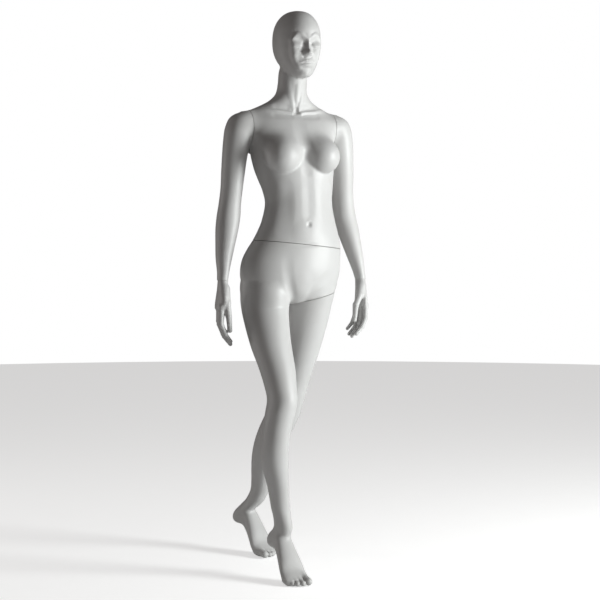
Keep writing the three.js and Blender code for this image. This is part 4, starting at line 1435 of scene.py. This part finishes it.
@dataclass(frozen=True)
class Finish:
    """A finish with grain, cloudiness and marks.

    Attributes:
        name: Name of the material.
        colour: Main colour.
        shade: Colour of its darker clouds.
        mark: Colour of its marks and of its darkening along the seams.
        roughness: Least and greatest roughness.
        metallic: How metallic it is.
        grain_scale: Frequency of the grain per metre.
        cloud_scale: Frequency of the clouds per metre.
        mark_scale: Frequency of the marks per metre.
        mark_amount: Strength of the marks.
        bump: Height of the grain in metres.
        rimmed: Whether it is darkened in patches along the seams.
    """

    name: str
    colour: Colour
    shade: Colour
    mark: Colour
    roughness: tuple[float, float] = (0.45, 0.6)
    metallic: float = 0.0
    grain_scale: float = 900.0
    cloud_scale: float = 9.0
    mark_scale: float = 40.0
    mark_amount: float = 0.3
    bump: float = 0.0001
    rimmed: bool = False

    def make(self, group: bpy.types.NodeTree) -> bpy.types.Material:
        """Builds the material.

        Args:
            group: The shared grain group.

        Returns:
            The material.
        """
        material = bpy.data.materials.new(self.name)
        material.use_nodes = True
        material.node_tree.nodes.clear()
        n = Nodes(material.node_tree)
        grain = n.add(
            "ShaderNodeGroup", {"node_tree": group}, Grain_Scale=self.grain_scale,
            Cloud_Scale=self.cloud_scale, Mark_Scale=self.mark_scale, Mark_Amount=self.mark_amount,
        )
        cloud = n.span(grain.outputs["Cloud"], 0.35, 0.65, 0.0, 1.0)
        colour = n.mix(cloud, self.shade, self.colour)
        colour = n.mix(grain.outputs["Marks"], colour, self.mark)
        rough = n.span(cloud, 0.0, 1.0, self.roughness[1], self.roughness[0])
        if self.rimmed:
            # Mark colour laid on in patches, strongest right at the seams and fading within RIM_REACH.
            rim = n.add("ShaderNodeAttribute", {"attribute_name": "rim"}).outputs["Fac"]
            patchy = n.span(grain.outputs["Grain"], 0.4, 0.62, 0.1, 0.55)
            seam_darkening = n.math("MULTIPLY", n.math("POWER", rim, 5.0), patchy)
            colour = n.mix(seam_darkening, colour, self.mark)
        bump = n.add("ShaderNodeBump", None, Strength=1.0, Distance=self.bump, Height=grain.outputs["Grain"])
        shader = n.add(
            "ShaderNodeBsdfPrincipled", None, Base_Color=colour, Roughness=rough, Metallic=self.metallic,
            Normal=bump.outputs[0],
        )
        out = n.add("ShaderNodeOutputMaterial")
        material.node_tree.links.new(shader.outputs[0], out.inputs[0])
        return material


def grey(value: float, warm: float = 0.0) -> Colour:
    """A grey, with a little warmth if wanted."""
    return (value * (1 + warm), value, value * (1 - warm), 1.0)


def brighten(backing: bpy.types.Material) -> None:
    """Lifts a backdrop towards white for the eye alone, as a lit studio floor is."""
    n = Nodes(backing.node_tree)
    shader = next(node for node in backing.node_tree.nodes if node.type == "BSDF_PRINCIPLED")
    seen = n.add("ShaderNodeLightPath").outputs["Is Camera Ray"]
    shader.inputs["Emission Color"].default_value = (1, 1, 1, 1)
    backing.node_tree.links.new(n.math("MULTIPLY", seen, 0.55), shader.inputs["Emission Strength"])


FINISHES = {
    "shell": Finish(
        "sprayed_matte_grey", grey(0.56, 0.006), grey(0.53, 0.010), grey(0.36, 0.03), (0.42, 0.52),
        grain_scale=1400, cloud_scale=7, mark_scale=22, mark_amount=0.10, bump=0.00006, rimmed=True,
    ),
    "board": Finish(
        "painted_fibre_board", grey(0.27, 0.04), grey(0.22, 0.05), grey(0.40, 0.05), (0.7, 0.88),
        grain_scale=700, cloud_scale=30, mark_scale=60, mark_amount=0.4, bump=0.00025,
    ),
    "steel": Finish(
        "brushed_zinc_steel", grey(0.60, -0.01), grey(0.48, -0.01), grey(0.30, 0.02), (0.28, 0.42),
        1.0, grain_scale=1600, cloud_scale=35, mark_scale=120, mark_amount=0.35, bump=0.00005,
    ),
    "dark_steel": Finish(
        "blackened_steel", grey(0.16, -0.02), grey(0.11, -0.02), grey(0.34, 0.0), (0.34, 0.5),
        0.9, grain_scale=1500, cloud_scale=60, mark_scale=160, mark_amount=0.5, bump=0.00005,
    ),
    "nylon": Finish(
        "turned_black_nylon", grey(0.045), grey(0.032), grey(0.12), (0.4, 0.55),
        grain_scale=1200, cloud_scale=45, mark_scale=140, mark_amount=0.4, bump=0.00006,
    ),
}


def dress_fittings(materials: dict[str, bpy.types.Material]) -> None:
    """Gives every packed fitting the finish of its material slot."""
    for part in frame["record"]["subparts"]:
        node = frame["nodes"][part["node"]]
        node.data.materials.clear()
        node.data.materials.append(materials[part["material_slot"]])
        LOG.info("%s wears %s", part["node"], part["material_slot"])


# ---- studio --------------------------------------------------------------------------


@dataclass(frozen=True)
class Studio:
    """Floor, light and camera.

    Attributes:
        azimuth: Camera's bearing from the figure's front, in degrees.
        distance: Camera's distance from the figure's upright.
        height: Camera's height.
        lens: Focal length in millimetres, on a sensor 36 mm wide.
        shift: Shift of the lens sideways and up, as a share of the picture.
    """

    azimuth: float = -25.0
    distance: float = 4.84
    height: float = 1.06
    lens: float = 88.48487999999999
    shift: tuple[float, float] = (0.008333333333333333, -0.08549999999999999)

    def floor(self, backing: bpy.types.Material) -> None:
        """A wide pale disc."""
        bm = bmesh.new()
        bmesh.ops.create_circle(bm, cap_ends=True, radius=9.0, segments=96)
        mesh = bpy.data.meshes.new("floor")
        bm.to_mesh(mesh)
        bm.free()
        disc = bpy.data.objects.new("floor", mesh)
        bpy.context.scene.collection.objects.link(disc)
        disc.data.materials.append(backing)

    def lamp(self, name: str, bearing: float, distance: float, height: float, size: Row, power: float,
             tint: Row, aim: float) -> None:
        """An area lamp that faces the figure.

        Args:
            name: Name of the lamp.
            bearing: Bearing from the figure's front, in degrees, positive to its left.
            distance: Distance from the figure.
            height: Height of its middle.
            size: Width and height.
            power: Watts.
            tint: Colour.
            aim: Height of the place it faces.
        """
        data = bpy.data.lights.new(name, "AREA")
        data.shape = "RECTANGLE"
        data.size, data.size_y = size
        data.energy = power
        data.color = tint
        lamp = bpy.data.objects.new(name, data)
        a = math.radians(bearing)
        lamp.location = (distance * math.sin(a), -distance * math.cos(a), height)
        lamp.rotation_euler = (Vector((0, 0, aim)) - lamp.location).to_track_quat("-Z", "Y").to_euler()
        bpy.context.scene.collection.objects.link(lamp)

    def camera(self) -> None:
        """Level camera."""
        data = bpy.data.cameras.new("camera")
        data.sensor_width = 36.0
        data.lens = self.lens
        data.shift_x, data.shift_y = self.shift
        eye = bpy.data.objects.new("camera", data)
        a = math.radians(self.azimuth)
        origin = FRAME_SHIFT * MM
        away = Vector((math.sin(a), -math.cos(a), 0)) * self.distance
        eye.location = (away.x - origin[0], away.y - origin[1], self.height - origin[2])
        eye.rotation_euler = (math.pi / 2, 0, a)
        bpy.context.scene.collection.objects.link(eye)
        bpy.context.scene.camera = eye

    def sky(self) -> None:
        """White to the eye, and a dim warm fill for everything else."""
        bpy.context.scene.view_settings.view_transform = "Standard"
        world = bpy.data.worlds.new("studio")
        bpy.context.scene.world = world
        world.use_nodes = True
        world.node_tree.nodes.clear()
        n = Nodes(world.node_tree)
        seen = n.add("ShaderNodeLightPath").outputs["Is Camera Ray"]
        fill = n.add("ShaderNodeBackground", None, Color=(1.0, 0.93, 0.90, 1), Strength=0.12)
        white = n.add("ShaderNodeBackground", None, Color=(1, 1, 1, 1), Strength=1.0)
        both = n.add("ShaderNodeMixShader", None, n0=seen, n1=fill.outputs[0], n2=white.outputs[0])
        out = n.add("ShaderNodeOutputWorld")
        world.node_tree.links.new(both.outputs[0], out.inputs[0])

    def build(self, backing: bpy.types.Material) -> None:
        """Sets everything up."""
        self.floor(backing)
        self.camera()
        self.sky()
        self.lamp("key", 44, 3.6, 1.4, (1.0, 2.2), 158, (0.97, 1.0, 0.99), 1.1)
        self.lamp("rim", -125, 3.4, 1.2, (0.8, 1.9), 14, (1.0, 0.97, 0.95), 1.0)


def main() -> None:
    """Builds the figure, dresses the fittings and sets up the studio."""
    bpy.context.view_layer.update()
    group = surface_group()
    materials = {slot: finish.make(group) for slot, finish in FINISHES.items()}
    backing = Finish("pale_floor", grey(0.86), grey(0.84), grey(0.80), (0.6, 0.8), bump=0.0001).make(group)
    brighten(backing)
    dress_fittings(materials)
    pieces: list[Piece] = [Torso(), SupportingHalf(), LeftLeg()]
    for side in Side:
        word = side.word
        pieces.append(Arm(f"{word}_arm_moulding", f"{word}_arm_shell", f"{word}_arm", side=side))
        pieces.append(Hand(f"{word}_hand_moulding", f"{word}_hand", f"{word}_hand", side=side))
    for piece in pieces:
        piece.finish(piece.build(), materials["shell"])
    Studio().build(backing)


if __name__ == "__main__":
    main()
